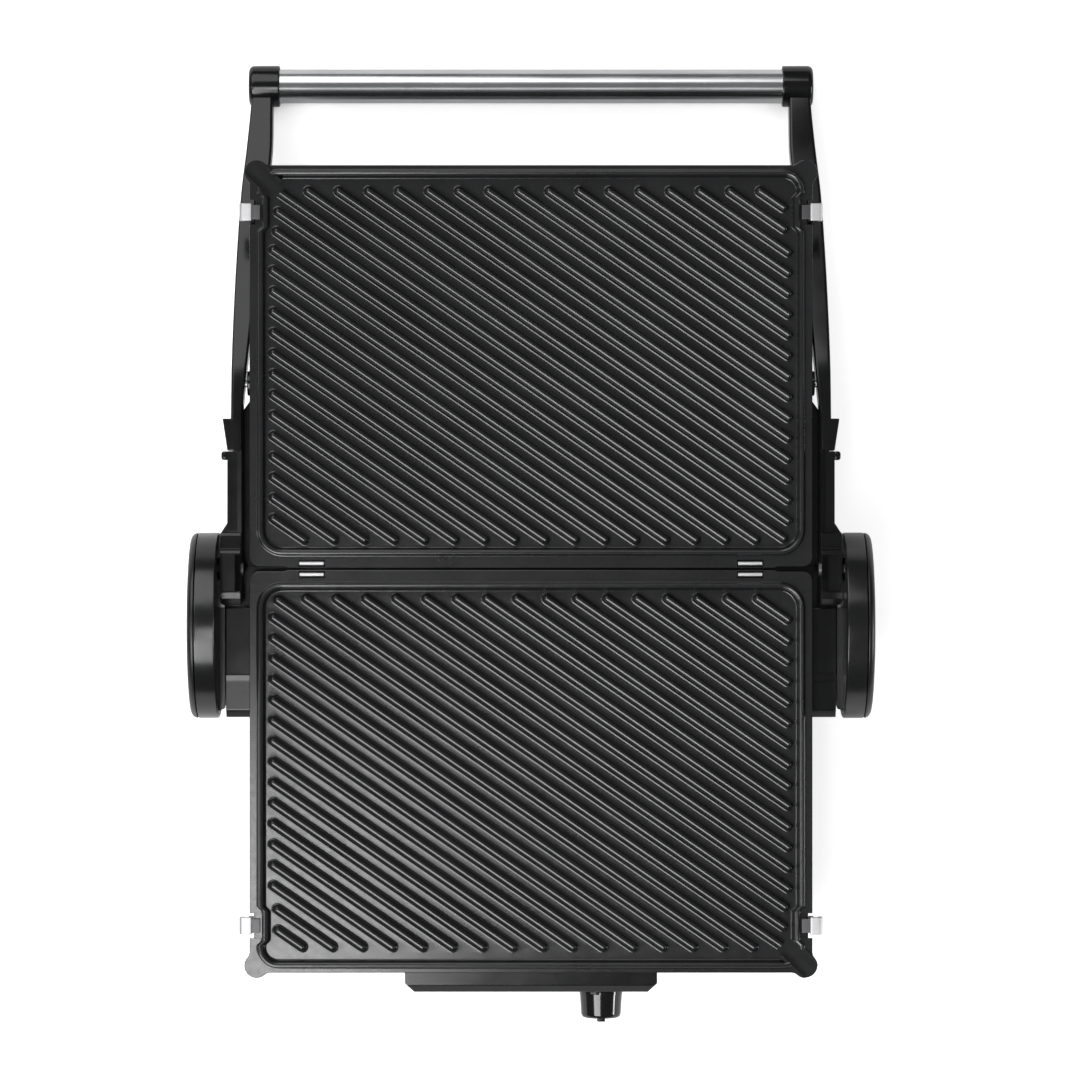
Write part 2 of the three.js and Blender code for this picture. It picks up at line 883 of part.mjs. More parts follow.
function spoutRecess() {
  const around = earRadius + fit * 2;
  const x = plateHalf - earInset;
  const y = plateFront + earInset;
  const bottom = plateUnder - fit * 2;
  const round = turnedZ(rodProfile(around, bottom, housingTop + overrun), pinSides, x, y);
  return join(round, cornerBar(spoutWidth + fit * 4, spoutChannelReach, 0, bottom, housingTop + overrun));
}

// Cuts that the base and the lid share, because the two plates are alike
function plateFittings() {
  return [latchPassage(1), latchPassage(-1), clipSeat(1), clipSeat(-1), spoutRecess()];
}

function towerProfile() {
  const top = -towerTop;
  const ridge = -towerRidgePlace;
  return [
    [-towerRear, top],
    [ridge, top],
    [ridge, top + towerRidgeHeight],
    [ridge - towerRidgeWidth, top + towerRidgeHeight],
    [ridge - towerRidgeWidth, top],
    [-towerFront + towerTopBevel, top],
    [-towerFront, top - towerTopBevel],
    [-towerFront, -towerFoot + towerFrontRise],
    [-towerFront + towerFrontBevel, -towerFoot],
    [-towerRear - towerRearBevel, -towerFoot],
    [-towerRear, -towerFoot + towerRearBevel],
  ];
}

function tower(side) {
  return onSide(sidePrism(towerProfile(), housingHalf - baseTaper, towerX), side);
}

function panelOpening() {
  const half = panelWidth / 2 - panelPocketInset;
  const z = -panelTop - panelHeight / 2;
  const tall = panelHeight / 2 - panelPocketInset;
  const back = housingFront + baseTaper + housingWall;
  return box(-half, half, housingFront - overrun, back, z - tall, z + tall);
}

function glandHole(radius) {
  const back = housingBack + overrun;
  const front = housingBack - baseTaper - housingWall - overrun;
  return turnedY(rodProfile(radius, front, back), boreSides, glandPlace, -glandDrop);
}

function glandBoss() {
  const back = glandSeat - fit;
  const front = housingBack - baseTaper - housingWall;
  return turnedY(rodProfile(glandBossDiameter / 2, front, back), pinSides, glandPlace, -glandDrop);
}

function baseHousing() {
  const outer = baseOuter();
  const shell = cut(join(outer, tower(1), tower(-1)), baseInner());
  const whole = join(shell, ledge(outer), latchSeat(1, outer), latchSeat(-1, outer), glandBoss());
  const holes = [...plateFittings(), panelOpening(), glandHole(glandDiameter / 2 + fit)];
  return cut(whole, ...holes);
}

function coverOutline(inset) {
  return roundedOutline(
    housingHalf - baseTaper - inset,
    housingBack - baseTaper - inset,
    housingFront + baseTaper + inset,
    baseBottomRadius - inset,
  );
}

function footPlaces() {
  const half = plateHalf - footSideInset;
  const back = plateBack - footRearInset;
  const front = plateFront + footFrontInset;
  return [
    ["foot_front_left", -half, front],
    ["foot_front_right", half, front],
    ["foot_rear_left", -half, back],
    ["foot_rear_right", half, back],
  ];
}

function baseBottomCover() {
  const top = housingBottom - fit;
  const bottom = top - coverThickness;
  const plate = slab(coverOutline(0), bottom, top);
  const cuts = footPlaces().map(([, x, y]) =>
    turnedZ(rodProfile(footDiameter / 2 + fit, bottom - overrun, bottom + footRecess), pinSides, x, y),
  );
  for (const row of [-1, 1]) {
    for (let count = -ventsPerSide; count <= ventsPerSide; count++) {
      const x = count * ventPitch;
      const y = (plateBack + plateFront) / 2 + row * ventRow;
      const [half, long] = [ventWidth / 2, ventLength / 2];
      cuts.push(box(x - half, x + half, y - long, y + long, bottom - overrun, top + overrun));
    }
  }
  return cut(plate, ...cuts);
}

function foot(x, y) {
  const top = housingBottom - fit - coverThickness + footRecess - fit;
  const radius = footDiameter / 2;
  const low = radius - footFlare;
  const profile = [
    [0, -matingHeight],
    [low - footFlare / 2, -matingHeight],
    [low, footFlare / 2 - matingHeight],
    [radius, top - footRecess],
    [radius, top],
    [0, top],
  ];
  return closed(turnedZ(profile, pinSides, x, y));
}

function armBosses(side) {
  return bossPlaces.map((y) => {
    const radius = bossDiameter / 2;
    const [inner, z] = [armInnerX(y + radius), armMiddleZ(y)];
    return onSide(turnedX(rodProfile(radius, housingHalf - lidTaper, inner - fit), boreSides, y, z), side);
  });
}

function armScrewHole(y, radius, from, to, side) {
  return onSide(turnedX(rodProfile(radius, from, to), screwSides, y, armMiddleZ(y)), side);
}

function lidHousing() {
  const outer = lidOuter();
  const turnedShell = outer.clone().rotateZ(Math.PI);
  const bossed = join(turnedShell, ...armBosses(1), ...armBosses(-1)).rotateZ(Math.PI);
  const shell = cut(bossed, lidInner());
  const fitted = join(shell, ledge(outer), latchSeat(1, outer), latchSeat(-1, outer));
  const holes = [1, -1].flatMap((side) =>
    bossPlaces.map((y) => {
      const tip = armOuterX(y) - screwLength - fit;
      return armScrewHole(y, screwDiameter / 2 + fit, tip, plateHalf + overrun, side);
    }),
  );
  return cut(cut(fitted, ...plateFittings()).rotateZ(Math.PI), ...holes);
}

function lidCoverRings(inset, lift) {
  const lidEnd = lidTaper + inset;
  const top = -lidShellDepth - fit;
  const rings = lidCoverShares.map(([depthShare, taperShare]) => {
    const inwards = lidEnd + lidCoverTaper * taperShare;
    const outline = roundedOutline(
      housingHalf - inwards,
      housingBack - inwards,
      housingFront + inwards,
      lidBottomRadius - inset,
    );
    return ringAt(outline, top - lidCoverDepth * depthShare + lift);
  });
  return rings.reverse();
}

function lidCover() {
  const outer = loft(lidCoverRings(0, 0));
  return cut(outer, loft(lidCoverRings(lidCoverWall, lidCoverWall))).rotateZ(Math.PI);
}

// Hubs and hinge

function hubHousing(side) {
  const edge = hubRadius - hubBevel;
  const drum = turnedX(
    [
      [0, hubX],
      [edge, hubX],
      [hubRadius, hubX + hubBevel],
      [hubRadius, hubX + hubThickness],
      [0, hubX + hubThickness],
    ],
    hubSides,
    -hubSetback,
    -hubDrop,
  );
  const lip = rodProfile(lipRadius, hubX - lipThickness, hubX + hubBevel);
  const disc = turnedX(lip, hubSides, -hubSetback, -hubDrop);
  const reach = hubRadius * 2;
  const keep = box(hubX - reach, hubX + reach, -reach, -towerRear, -reach, -lipDrop);
  const half = sliderWidth / 2 + fit;
  const low = -sliderHeight / 2 - fit;
  const high = floatTravel + sliderHeight / 2 + fit;
  const depth = sliderThickness + pinSetback + fit;
  const slot = box(hubX - overrun, hubX + depth, -half, half, low, high);
  return onSide(cut(join(drum, common(disc, keep)), slot), side);
}

function hubCover(side) {
  const outside = hubCoverX + hubCoverThickness;
  const profile = [
    [0, hubCoverX],
    [hubRadius, hubCoverX],
  ];
  for (let step = 0; step <= hubRoundingSteps; step++) {
    const angle = radians((90 * step) / hubRoundingSteps);
    const radius = hubRadius - hubCoverRounding * (1 - Math.cos(angle));
    profile.push([radius, outside - hubCoverRounding * (1 - Math.sin(angle))]);
  }
  profile.push([hubDishRadius, outside], [hubDishRadius - hubDishDepth, outside - hubDishDepth]);
  profile.push([0, outside - hubDishDepth]);
  return onSide(turnedX(profile, hubSides, -hubSetback, -hubDrop), side);
}

function hingePin(side) {
  const [half, tall] = [sliderWidth / 2, sliderHeight / 2];
  const start = hubX + pinSetback;
  const slider = box(start, start + sliderThickness, -half, half, -tall, tall);
  const profile = rodProfile(pinDiameter / 2, bracketX - pinSetback, start + pinSetback);
  const pin = turnedX(profile, pinSides, 0, 0);
  return onSide(join(slider, pin), side);
}

function bracketProfile() {
  const top = -bracketTop;
  const under = top - bracketHeight;
  const end = -blockReach;
  const chamfer = blockRise / 2;
  return [
    [bracketReach, top],
    [blockReach, top],
    [blockReach / 2, blockRise],
    [end + chamfer, blockRise],
    [end, blockRise - chamfer],
    [end, -blockDrop],
    [end / 2, (under - blockDrop) / 2],
    [blockReach / 2, under + bracketTop],
    [blockReach + bracketTop, under],
    [bracketReach, under],
  ];
}

function hingeBracket(side) {
  const profile = bracketProfile();
  const top = -bracketTop;
  const under = top - bracketHeight;
  const wide = box(bracketX, knuckleX, -blockReach * 2, blockReach, under, blockRise);
  const knuckle = common(sidePrism(profile, bracketX, knuckleX), wide);
  const flare = planPrism(
    [
      [neckX - fit, blockReach - fit],
      [knuckleX, blockReach - fit],
      [neckX - fit, blockReach + flareLength],
    ],
    under,
    top,
  );
  const fin = box(bracketX, bracketX + bracketFinThickness, blockReach / 2, bracketReach, top - fit, 0);
  const hookStart = bracketReach - hookLength;
  const hook = box(neckX - fit, neckX + hookReach, hookStart, bracketReach, top - hookHeight, top);
  const middle = armSection(0);
  const tongue = tongueBox(middle, 0);
  const whole = join(sidePrism(profile, bracketX, neckX), knuckle, flare, fin, hook, tongue);
  const bore = rodProfile(pinDiameter / 2 + pinClearance, bracketX - overrun, knuckleX + overrun);
  const floor = blockRise - pocketDepth;
  const pocket = box(
    bracketX + bracketFinThickness,
    knuckleX - pocketWall,
    -pocketFront,
    pocketBack,
    floor,
    blockRise + overrun,
  );
  return onSide(cut(whole, turnedX(bore, pinSides, 0, 0), pocket), side);
}

// Inside and outside faces, top and height of the arm, at a share of its length
function armSection(share) {
  const [, outwards, inwards, drop] = rowAt(armShares, share);
  const endInner = armEndX - armEndThickness;
  const endTop = handleZ + armEndHeight / 2;
  return {
    outer: armRootX + (armEndX - armRootX) * outwards,
    inner: bracketX + (endInner - bracketX) * inwards,
    top: -bracketTop + (endTop + bracketTop) * drop,
    height: bracketHeight + (armEndHeight - bracketHeight) * share,
  };
}

function armShareAt(y) {
  return (y - armBend) / (handleY - armBend);
}

function armInnerX(y) {
  return armSection(armShareAt(y)).inner;
}

function armOuterX(y) {
  return armSection(armShareAt(y)).outer;
}

function armMiddleZ(y) {
  const section = armSection(armShareAt(y));
  return section.top - section.height / 2;
}

function armRing(section, y) {
  const { outer, inner, top, height } = section;
  const under = top - height;
  const c = armChamfer;
  const corners = [
    [inner, under + c],
    [inner + c, under],
    [outer - c, under],
    [outer, under + c],
    [outer, top - c],
    [outer - c, top],
    [inner + c, top],
    [inner, top - c],
  ];
  return corners.map(([x, z]) => new THREE.Vector3(x, y, z));
}

// The bracket's tongue sits in a socket in the arm's root.
function tongueBox(section, gap) {
  const x = (section.inner + section.outer) / 2;
  const z = section.top - section.height / 2;
  const [half, tall] = [tongueThickness / 2 + gap, tongueHeight / 2 + gap];
  const start = bracketReach - fit - gap;
  return box(x - half, x + half, start, bracketReach + tongueLength + gap, z - tall, z + tall);
}

function screwSeats(side) {
  return bossPlaces.flatMap((y) => {
    const outer = armOuterX(y);
    const headRadius = screwHeadDiameter / 2 + fit;
    const bottom = outer - screwHeadHeight - fit * 2;
    return [
      armScrewHole(y, headRadius, bottom, plateHalf + overrun * 4, side),
      armScrewHole(y, screwDiameter / 2 + fit, bottom - armEndThickness * 2, bottom + fit, side),
    ];
  });
}

function lidArm(side) {
  const root = armSection(0);
  const rings = [armRing(root, armStart)];
  for (const [share] of armShares) {
    rings.push(armRing(armSection(share), armBend + (handleY - armBend) * share));
  }
  const bar = loft(rings, (point) => new THREE.Vector2(point.z, point.x));
  const top = -bracketTop;
  const wedge = planPrism(
    [
      [root.outer - armChamfer * 2, armStart],
      [neckX, armStart],
      [neckX + wedgeFlare, armBend],
      [root.outer - armChamfer * 2, armBend],
    ],
    top - wedgeHeight,
    top,
  );
  const capRadius = capDiameter / 2 + fit;
  const cap = turnedX(rodProfile(capRadius, 0, plateWidth), roundSides, handleY, handleZ);
  const socket = tongueBox(root, fit);
  const solid = cut(join(bar, wedge), cap, socket);
  return cut(onSide(solid, side), ...screwSeats(side));
}

function armScrew(side, y) {
  const outer = armOuterX(y) - fit;
  const neck = outer - screwHeadHeight;
  const [radius, head] = [screwDiameter / 2, screwHeadDiameter / 2];
  const profile = [
    [0, outer - screwLength],
    [radius, outer - screwLength],
    [radius, neck],
    [head, neck],
    [head, outer - screwHeadHeight / 3],
    [head / 2, outer],
    [0, outer],
  ];
  return onSide(turnedX(profile, screwSides, y, armMiddleZ(y)), side);
}

function handleTube() {
  const half = capX - capWidth + handleInsert - fit;
  const [outer, inner] = [handleDiameter / 2, handleDiameter / 2 - handleWall];
  const profile = [
    [inner, -half],
    [outer, -half],
    [outer, half],
    [inner, half],
    [inner, -half],
  ];
  return closed(turnedX(profile, roundSides, handleY, handleZ));
}

function handleCap(side) {
  const inside = capX - capWidth;
  const [radius, socket] = [capDiameter / 2, handleDiameter / 2 + fit];
  const profile = [
    [0, inside + handleInsert],
    [socket, inside + handleInsert],
    [socket, inside],
    [radius, inside],
    [radius, capX - capRounding],
    [radius - capRounding * roundShare, capX - capRounding * roundShare],
    [radius - capRounding, capX],
    [0, capX],
  ];
  return onSide(turnedX(profile, roundSides, handleY, handleZ), side);
}

// Control panel, thermostat, knob and lamps

function panelProfile(inset) {
  const back = housingFront + baseTaper;
  const top = -panelTop - inset;
  const bottom = -panelTop - panelHeight + inset;
  const face = panelFace + inset;
  return [
    [back, top],
    [back, bottom],
    [face + panelSlope, bottom],
    [face, bottom + panelSlope],
    [face, top - panelSlope],
    [face + panelSlope, top],
  ];
}

function panelHole(x, diameter) {
  const radius = diameter / 2 + fit;
  const profile = rodProfile(radius, panelFace - overrun, panelFace + panelWall + overrun);
  return turnedY(profile, boreSides, x, -knobDrop);
}

function controlPanel() {
  const half = panelWidth / 2;
  const back = housingFront + baseTaper;
  const solid = sidePrism(panelProfile(0).reverse(), -half, half);
  const plan = planPrism(
    [
      [-half, back + overrun],
      [-half, panelFace + panelCorner],
      [panelCorner - half, panelFace],
      [half - panelCorner, panelFace],
      [half, panelFace + panelCorner],
      [half, back + overrun],
    ],
    -panelTop - panelHeight - overrun,
    -panelTop + overrun,
  );
  const pocketHalf = half - panelWall - panelCorner / 2;
  const pocket = sidePrism(panelProfile(panelWall).reverse(), -pocketHalf, pocketHalf);
  const behind = loft(shellRings(baseSideShares, housingBottom, baseTaper, baseBottomRadius, -fit, overrun));
  const lampHoles = lampPlaces.map((x) => panelHole(x, lampDiameter));
  return cut(common(solid, plan), pocket, behind, panelHole(knobPlace, shaftDiameter), ...lampHoles);
}

function temperatureKnob() {
  const back = panelFace - fit;
  const face = back - knobLength;
  const radius = knobDiameter / 2;
  const narrow = radius - knobTaper;
  const bore = shaftDiameter / 2 + fit;
  const profile = [
    [0, back - shaftInKnob],
    [bore, back - shaftInKnob],
    [bore, back],
    [radius - knobTaper / 2, back],
    [radius, back - knobSkirt],
    [narrow, face + knobRounding],
    [narrow - knobRounding * roundShare, face + knobRounding * roundShare],
    [narrow - knobRounding, face],
    [0, face],
  ];
  const body = turnedY(profile, roundSides, knobPlace, -knobDrop);
  const half = pointerWidth / 2;
  const reach = narrow - knobRounding / 2;
  const pointer = box(-half, half, face - pointerHeight, face + fit, -reach, reach);
  return join(body, pointer.translate(knobPlace, 0, -knobDrop));
}

function thermostatShaft() {
  const inner = panelFace + panelWall + fit + shaftInBody;
  const outer = panelFace - shaftInKnob;
  return closed(turnedY(rodProfile(shaftDiameter / 2, outer, inner), boreSides, knobPlace, -knobDrop));
}

function thermostat() {
  const face = panelFace + panelWall + fit;
  const radius = thermostatDiameter / 2;
  const bore = shaftDiameter / 2 + fit;
  const profile = [
    [bore, face],
    [radius - fit * 2, face],
    [radius, face + fit * 2],
    [radius, face + thermostatLength],
    [0, face + thermostatLength],
    [0, face + shaftInBody + fit * 2],
    [bore, face + shaftInBody + fit * 2],
    [bore, face],
  ];
  return closed(turnedY(profile, pinSides, knobPlace, -knobDrop));
}

function lamp(x) {
  const radius = lampDiameter / 2;
  const outer = panelFace - lampRise;
  const profile = [
    [0, outer + lampLength],
    [radius, outer + lampLength],
    [radius, outer + lampRise / 2],
    [radius / 2, outer],
    [0, outer],
  ];
  return closed(turnedY(profile, boreSides, x, -knobDrop));
}

// Mains inlet

function cordGland() {
  const seat = glandSeat;
  const [neck, flange, bore] = [glandDiameter / 2, glandFlange / 2, glandBore / 2];
  const end = seat + glandFlangeThickness;
  const profile = [
    [bore, end - glandLength],
    [neck, end - glandLength],
    [neck, seat],
    [flange, seat],
    [flange, end - glandFlangeThickness / 2],
    [flange - glandFlangeThickness / 2, end],
    [bore, end],
    [bore, end - glandLength],
  ];
  return closed(turnedY(profile, boreSides, glandPlace, -glandDrop));
}

function terminalBlock() {
  const bottom = housingBottom;
  const [long, wide] = [terminalLength / 2, terminalWidth / 2];
  const y = plateBack - terminalSetback;
  const top = bottom + terminalHeight;
  const block = box(glandPlace - long, glandPlace + long, y - wide, y + wide, bottom, top);
  const holes = [-1, 0, 1].map((place) => {
    const x = glandPlace + (place * terminalLength) / 3;
    const profile = rodProfile(terminalScrew / 2, top - terminalHeight / 2, top + overrun);
    return turnedZ(profile, screwSides, x, y);
  });
  return cut(block, ...holes);
}

// Finishes

function finish(color, roughness, metalness) {
  return new THREE.MeshStandardMaterial({ color, roughness, metalness, flatShading: true });
}

const finishes = {
  plate: finish(0x2b2c2f, 0.55, 0.2),
  plastic: finish(0x1f2022, 0.5, 0),
  armPlastic: finish(0x2c2d30, 0.55, 0),
  gloss: finish(0x0c0c0e, 0.15, 0),
  steel: finish(0xb9babc, 0.3, 1),
  darkSteel: finish(0x55565a, 0.45, 0.9),
  brushed: finish(0x9c9da0, 0.38, 1),
  aluminium: finish(0xc4c5c7, 0.4, 1),
  rubber: finish(0x141414, 0.85, 0),
  porcelain: finish(0xd9d6cc, 0.5, 0),
  redLens: finish(0xb3261c, 0.2, 0),
  greenLens: finish(0x2f8c3a, 0.2, 0),
};

const grill = new THREE.Group();

function add(name, geometry, material) {
  const mesh = new THREE.Mesh(closed(geometry), material);
  mesh.name = name;
  mesh.geometry.computeVertexNormals();
  grill.add(mesh);
}

function sideName(side) {
  return side > 0 ? "right" : "left";
}

// The lid's plate and its fittings are the base's, turned half round the middle of the seam.
function addPlateSet(level, turn) {
  const place = (geometry) => closed(geometry.clone().rotateZ(turn));
  add(`${level}_grill_plate`, place(plateShape), finishes.plate);
  add(`${level}_heater`, place(heater()), finishes.darkSteel);
  add(`${level}_reflector`, place(reflector()), finishes.aluminium);
  for (const side of [-1, 1]) {
    const name = sideName(turn ? -side : side);
    add(`${level}_rear_clip_${name}`, place(rearClip(side)), finishes.steel);
    add(`${level}_latch_${name}`, place(latch(side)), finishes.steel);
    add(`${level}_latch_spring_${name}`, place(latchSpring(side)), finishes.darkSteel);
  }
}

const plateShape = grillPlate();
addPlateSet("lower", 0);
addPlateSet("upper", Math.PI);

add("base_housing", baseHousing(), finishes.plastic);
add("base_bottom_cover", baseBottomCover(), finishes.plastic);
for (const [name, x, y] of footPlaces()) {
  add(name, foot(x, y), finishes.rubber);
}
add("lid_housing", lidHousing(), finishes.plastic);
add("lid_cover", lidCover(), finishes.brushed);

for (const side of [-1, 1]) {
  const name = sideName(side);
  add(`hub_housing_${name}`, hubHousing(side), finishes.plastic);
  add(`hub_cover_${name}`, hubCover(side), finishes.plastic);
  add(`hinge_pin_${name}`, hingePin(side), finishes.steel);
  add(`hinge_bracket_${name}`, hingeBracket(side), finishes.armPlastic);
  add(`lid_arm_${name}`, lidArm(side), finishes.armPlastic);
  add(`handle_cap_${name}`, handleCap(side), finishes.plastic);
  bossPlaces.forEach((y, index) => {
    add(`arm_screw_${name}_${index + 1}`, armScrew(side, y), finishes.darkSteel);
  });
}
add("handle_tube", handleTube(), finishes.brushed);

add("control_panel", controlPanel(), finishes.plastic);
add("temperature_knob", temperatureKnob(), finishes.gloss);
add("thermostat_shaft", thermostatShaft(), finishes.steel);
add("thermostat", thermostat(), finishes.porcelain);
add("power_lamp", lamp(lampPlaces[0]), finishes.redLens);
add("ready_lamp", lamp(lampPlaces[1]), finishes.greenLens);
add("cord_gland", cordGland(), finishes.rubber);
add("terminal_block", terminalBlock(), finishes.porcelain);

const bounds = new THREE.Box3().setFromObject(grill);
const middle = bounds.getCenter(new THREE.Vector3());
grill.position.set(-middle.x, -middle.y, -bounds.min.z);

export default grill;
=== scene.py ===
"""Looks of the contact grill, opened flat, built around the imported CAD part.

Sizes are in millimetres in the CAD source's own frame, whose origin is on the hinge line: x to the
right, y from the knob to the handle, z up. The function row() turns them into metres in the row frame.
"""

import json
import math

import bmesh
import bpy
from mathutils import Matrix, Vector
from mathutils.geometry import delaunay_2d_cdt


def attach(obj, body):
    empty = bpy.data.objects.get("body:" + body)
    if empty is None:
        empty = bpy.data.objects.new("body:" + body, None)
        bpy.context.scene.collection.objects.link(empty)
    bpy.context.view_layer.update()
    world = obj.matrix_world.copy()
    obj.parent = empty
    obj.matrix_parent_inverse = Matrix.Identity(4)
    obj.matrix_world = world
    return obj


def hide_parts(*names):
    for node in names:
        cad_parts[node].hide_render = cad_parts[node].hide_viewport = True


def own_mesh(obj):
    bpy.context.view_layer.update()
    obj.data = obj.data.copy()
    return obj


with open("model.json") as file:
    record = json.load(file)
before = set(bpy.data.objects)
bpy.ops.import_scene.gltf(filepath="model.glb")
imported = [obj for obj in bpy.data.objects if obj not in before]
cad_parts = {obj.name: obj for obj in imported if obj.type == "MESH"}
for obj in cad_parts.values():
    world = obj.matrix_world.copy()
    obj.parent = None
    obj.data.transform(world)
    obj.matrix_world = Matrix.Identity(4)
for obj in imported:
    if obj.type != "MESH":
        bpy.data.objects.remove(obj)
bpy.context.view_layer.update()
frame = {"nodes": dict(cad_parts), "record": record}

AXIS = Vector((0.0, -16.025, 80.0))  # from the hinge line to the row frame's origin
MM = 0.001
FIT = 0.3

PLATE_HALF = 157.8
PLATE_BACK = -0.6
RIM_HALF = 153.2
RIM_BACK = -7.8
RIM_FRONT = -223.5
FLANGE_TOP = -3.5
FLANGE_UNDER = -6.0
FLOOR_TOP = -5.5
RIB_TOP = -1.0
PLATE_UNDER = -9.0
EAR = (153.8, -222.4)
LATCH_Y = -200.0
LATCH_WIDTH = 9.8
CLIP_X = 122.9
CLIP_HALF = 6.85
SPRING_SEAT_X = 145.5
HOUSING_TOP = -6.3
HOUSING_HALF = 155.5
HOUSING_BACK = -2.2
HOUSING_FRONT = -224.1
HOUSING_BOTTOM = -69.0
BASE_TAPER = 14.0
LID_BOTTOM = -50.0
LID_TAPER = 15.0
WALL = 3.0
BRACKET_X = 162.3
NECK_X = 170.2
KNUCKLE_X = 173.9
HUB_X = 174.4
HUB = (-31.6, -5.0)
ARM_REAR = 66.3
ARM_START = 84.3
ARM_SCREWS = (104.3, 150.3)
HANDLE_Y = 276.0
HANDLE_Z = -68.25
HANDLE = (HANDLE_Y, HANDLE_Z)
CORD_GLAND = (96, -50)
KNOB_X = 39.6
KNOB_Z = -34.0
LAMPS = {"power_lamp": -6, "ready_lamp": 10}
TABLE_Z = -80.0


def row(point):
    return (Vector(point) + AXIS) * MM


# Outlines


def arc(x, y, radius, start, end, steps):
    angles = [math.radians(start + (end - start) * i / steps) for i in range(steps + 1)]
    return [(x + radius * math.cos(a), y + radius * math.sin(a)) for a in angles]


def filleted(corners, steps=5):
    """A closed outline from (x, y, radius) corners, each corner rounded by its radius."""
    points = []
    for i, (x, y, radius) in enumerate(corners):
        here = Vector((x, y))
        before = Vector(corners[i - 1][:2])
        after = Vector(corners[(i + 1) % len(corners)][:2])
        if radius <= 0:
            points.append((x, y))
            continue
        to_before = (before - here).normalized()
        to_after = (after - here).normalized()
        half = to_before.angle(to_after) / 2
        limit = 0.49 * min((before - here).length, (after - here).length)
        reach = min(radius / math.tan(half), limit)
        start, end = here + to_before * reach, here + to_after * reach
        for step in range(steps + 1):
            share = step / steps
            curve = start.lerp(here, share).lerp(here.lerp(end, share), share)
            points.append((curve.x, curve.y))
    return points


def rounded(half, back, front, back_radius, front_radius, steps=10):
    """A rectangle with round corners, from the front right corner round to the left."""
    points = arc(half - front_radius, front + front_radius, front_radius, 270, 360, steps)
    points += arc(half - back_radius, back - back_radius, back_radius, 0, 90, steps)
    points += arc(back_radius - half, back - back_radius, back_radius, 90, 180, steps)
    points += arc(front_radius - half, front + front_radius, front_radius, 180, 270, steps)
    return points


def smooth_rows(table, share):
    """The row of a share table at a share, on a smooth curve through its rows."""
    last = len(table) - 1
    low = max(i for i in range(last) if table[i][0] <= share or i == 0)
    rows = [table[max(low - 1, 0)], table[low], table[low + 1], table[min(low + 2, last)]]
    step = rows[2][0] - rows[1][0]
    t = min(max((share - rows[1][0]) / step, 0), 1)
    result = [share]
    for column in range(1, len(table[0])):
        a, b, c, d = (r[column] for r in rows)
        first = (c - a) / max(rows[2][0] - rows[0][0], 1e-6) * step
        second = (d - b) / max(rows[3][0] - rows[1][0], 1e-6) * step
        value = (2 * t**3 - 3 * t**2 + 1) * b + (t**3 - 2 * t**2 + t) * first
        value += (-2 * t**3 + 3 * t**2) * c + (t**3 - t**2) * second
        result.append(value)
    return result


# Meshes


class Form:
    """Points and faces of a piece, in millimetres."""

    def __init__(self):
        self.points = []
        self.faces = []

    def ring(self, points):
        first = len(self.points)
        self.points.extend(Vector(p) for p in points)
        return list(range(first, len(self.points)))

    def band(self, low, high):
        for i in range(len(low)):
            j = (i + 1) % len(low)
            self.faces.append((low[i], low[j], high[j], high[i]))

    def loft(self, rings, capped=True, looped=False):
        made = [self.ring(r) for r in rings]
        for low, high in zip(made, made[1:]):
            self.band(low, high)
        if looped:
            self.band(made[-1], made[0])
        elif capped:
            self.faces.append(tuple(reversed(made[0])))
            self.faces.append(tuple(made[-1]))
        return self

    def flat(self, outer, holes, z, in_hole):
        """A level area between an outer outline and holes in it; in_hole tells where there is none."""
        loops = [outer] + holes
        flat_points = [Vector(p) for loop in loops for p in loop]
        edges = []
        first = 0
        for loop in loops:
            count = len(loop)
            edges += [(first + i, first + (i + 1) % count) for i in range(count)]
            first += count
        points, _, faces, *_ = delaunay_2d_cdt(flat_points, edges, [], 1, 1e-5)
        start = len(self.points)
        self.points.extend(Vector((p.x, p.y, z)) for p in points)
        for face in faces:
            middle = sum((points[i] for i in face), Vector((0, 0))) / len(face)
            if not in_hole(middle):
                self.faces.append(tuple(start + i for i in face))
        return self

    def merged(self, other):
        first = len(self.points)
        self.points.extend(other.points)
        self.faces.extend(tuple(i + first for i in face) for face in other.faces)
        return self

    def moved(self, change):
        self.points = [Vector(change(p)) for p in self.points]
        return self


def levels(rings):
    """Rings of (x, y) outlines with their heights, as points."""
    return [[(x, y, z) for x, y in outline] for outline, z in rings]


def turned(profile, sides, axis, centre=(0, 0), looped=False):
    """A solid of revolution from (radius, place) pairs along the x, y or z axis."""
    rings = []
    for radius, place in profile:
        ring = []
        for i in range(sides):
            angle = 2 * math.pi * i / sides
            a = centre[0] + radius * math.cos(angle)
            b = centre[1] + radius * math.sin(angle)
            ring.append({"x": (place, a, b), "y": (a, place, b), "z": (a, b, place)}[axis])
        rings.append(ring)
    return Form().loft(rings, looped=looped)


def rod(radius, low, high, sides, axis, centre=(0, 0)):
    return turned([(0, low), (radius, low), (radius, high), (0, high)], sides, axis, centre)


def prism(outline, axis, low, high):
    """An outline in the plane across an axis, drawn out along it."""
    place = {
        "x": lambda a, b, t: (t, a, b),
        "y": lambda a, b, t: (a, t, b),
        "z": lambda a, b, t: (a, b, t),
    }[axis]
    return Form().loft([[place(a, b, t) for a, b in outline] for t in (low, high)])


def block(x0, x1, y0, y1, z0, z1):
    return prism([(x0, y0), (x1, y0), (x1, y1), (x0, y1)], "z", z0, z1)


def mirrored(form, side):
    """The form of the right side, as it is there or on the left side."""
    return form if side > 0 else form.moved(lambda p: (-p.x, p.y, p.z))


def half_turn(form):
    """The base's form as it is on the lid."""
    return form.moved(lambda p: (-p.x, -p.y, p.z))


def half_turned_mesh(thing):
    """The same turn for the mesh of an object, which is in the row frame."""
    for vertex in thing.data.vertices:
        x, y, z = vertex.co
        vertex.co = (-x, 2 * AXIS.y * MM - y, z)


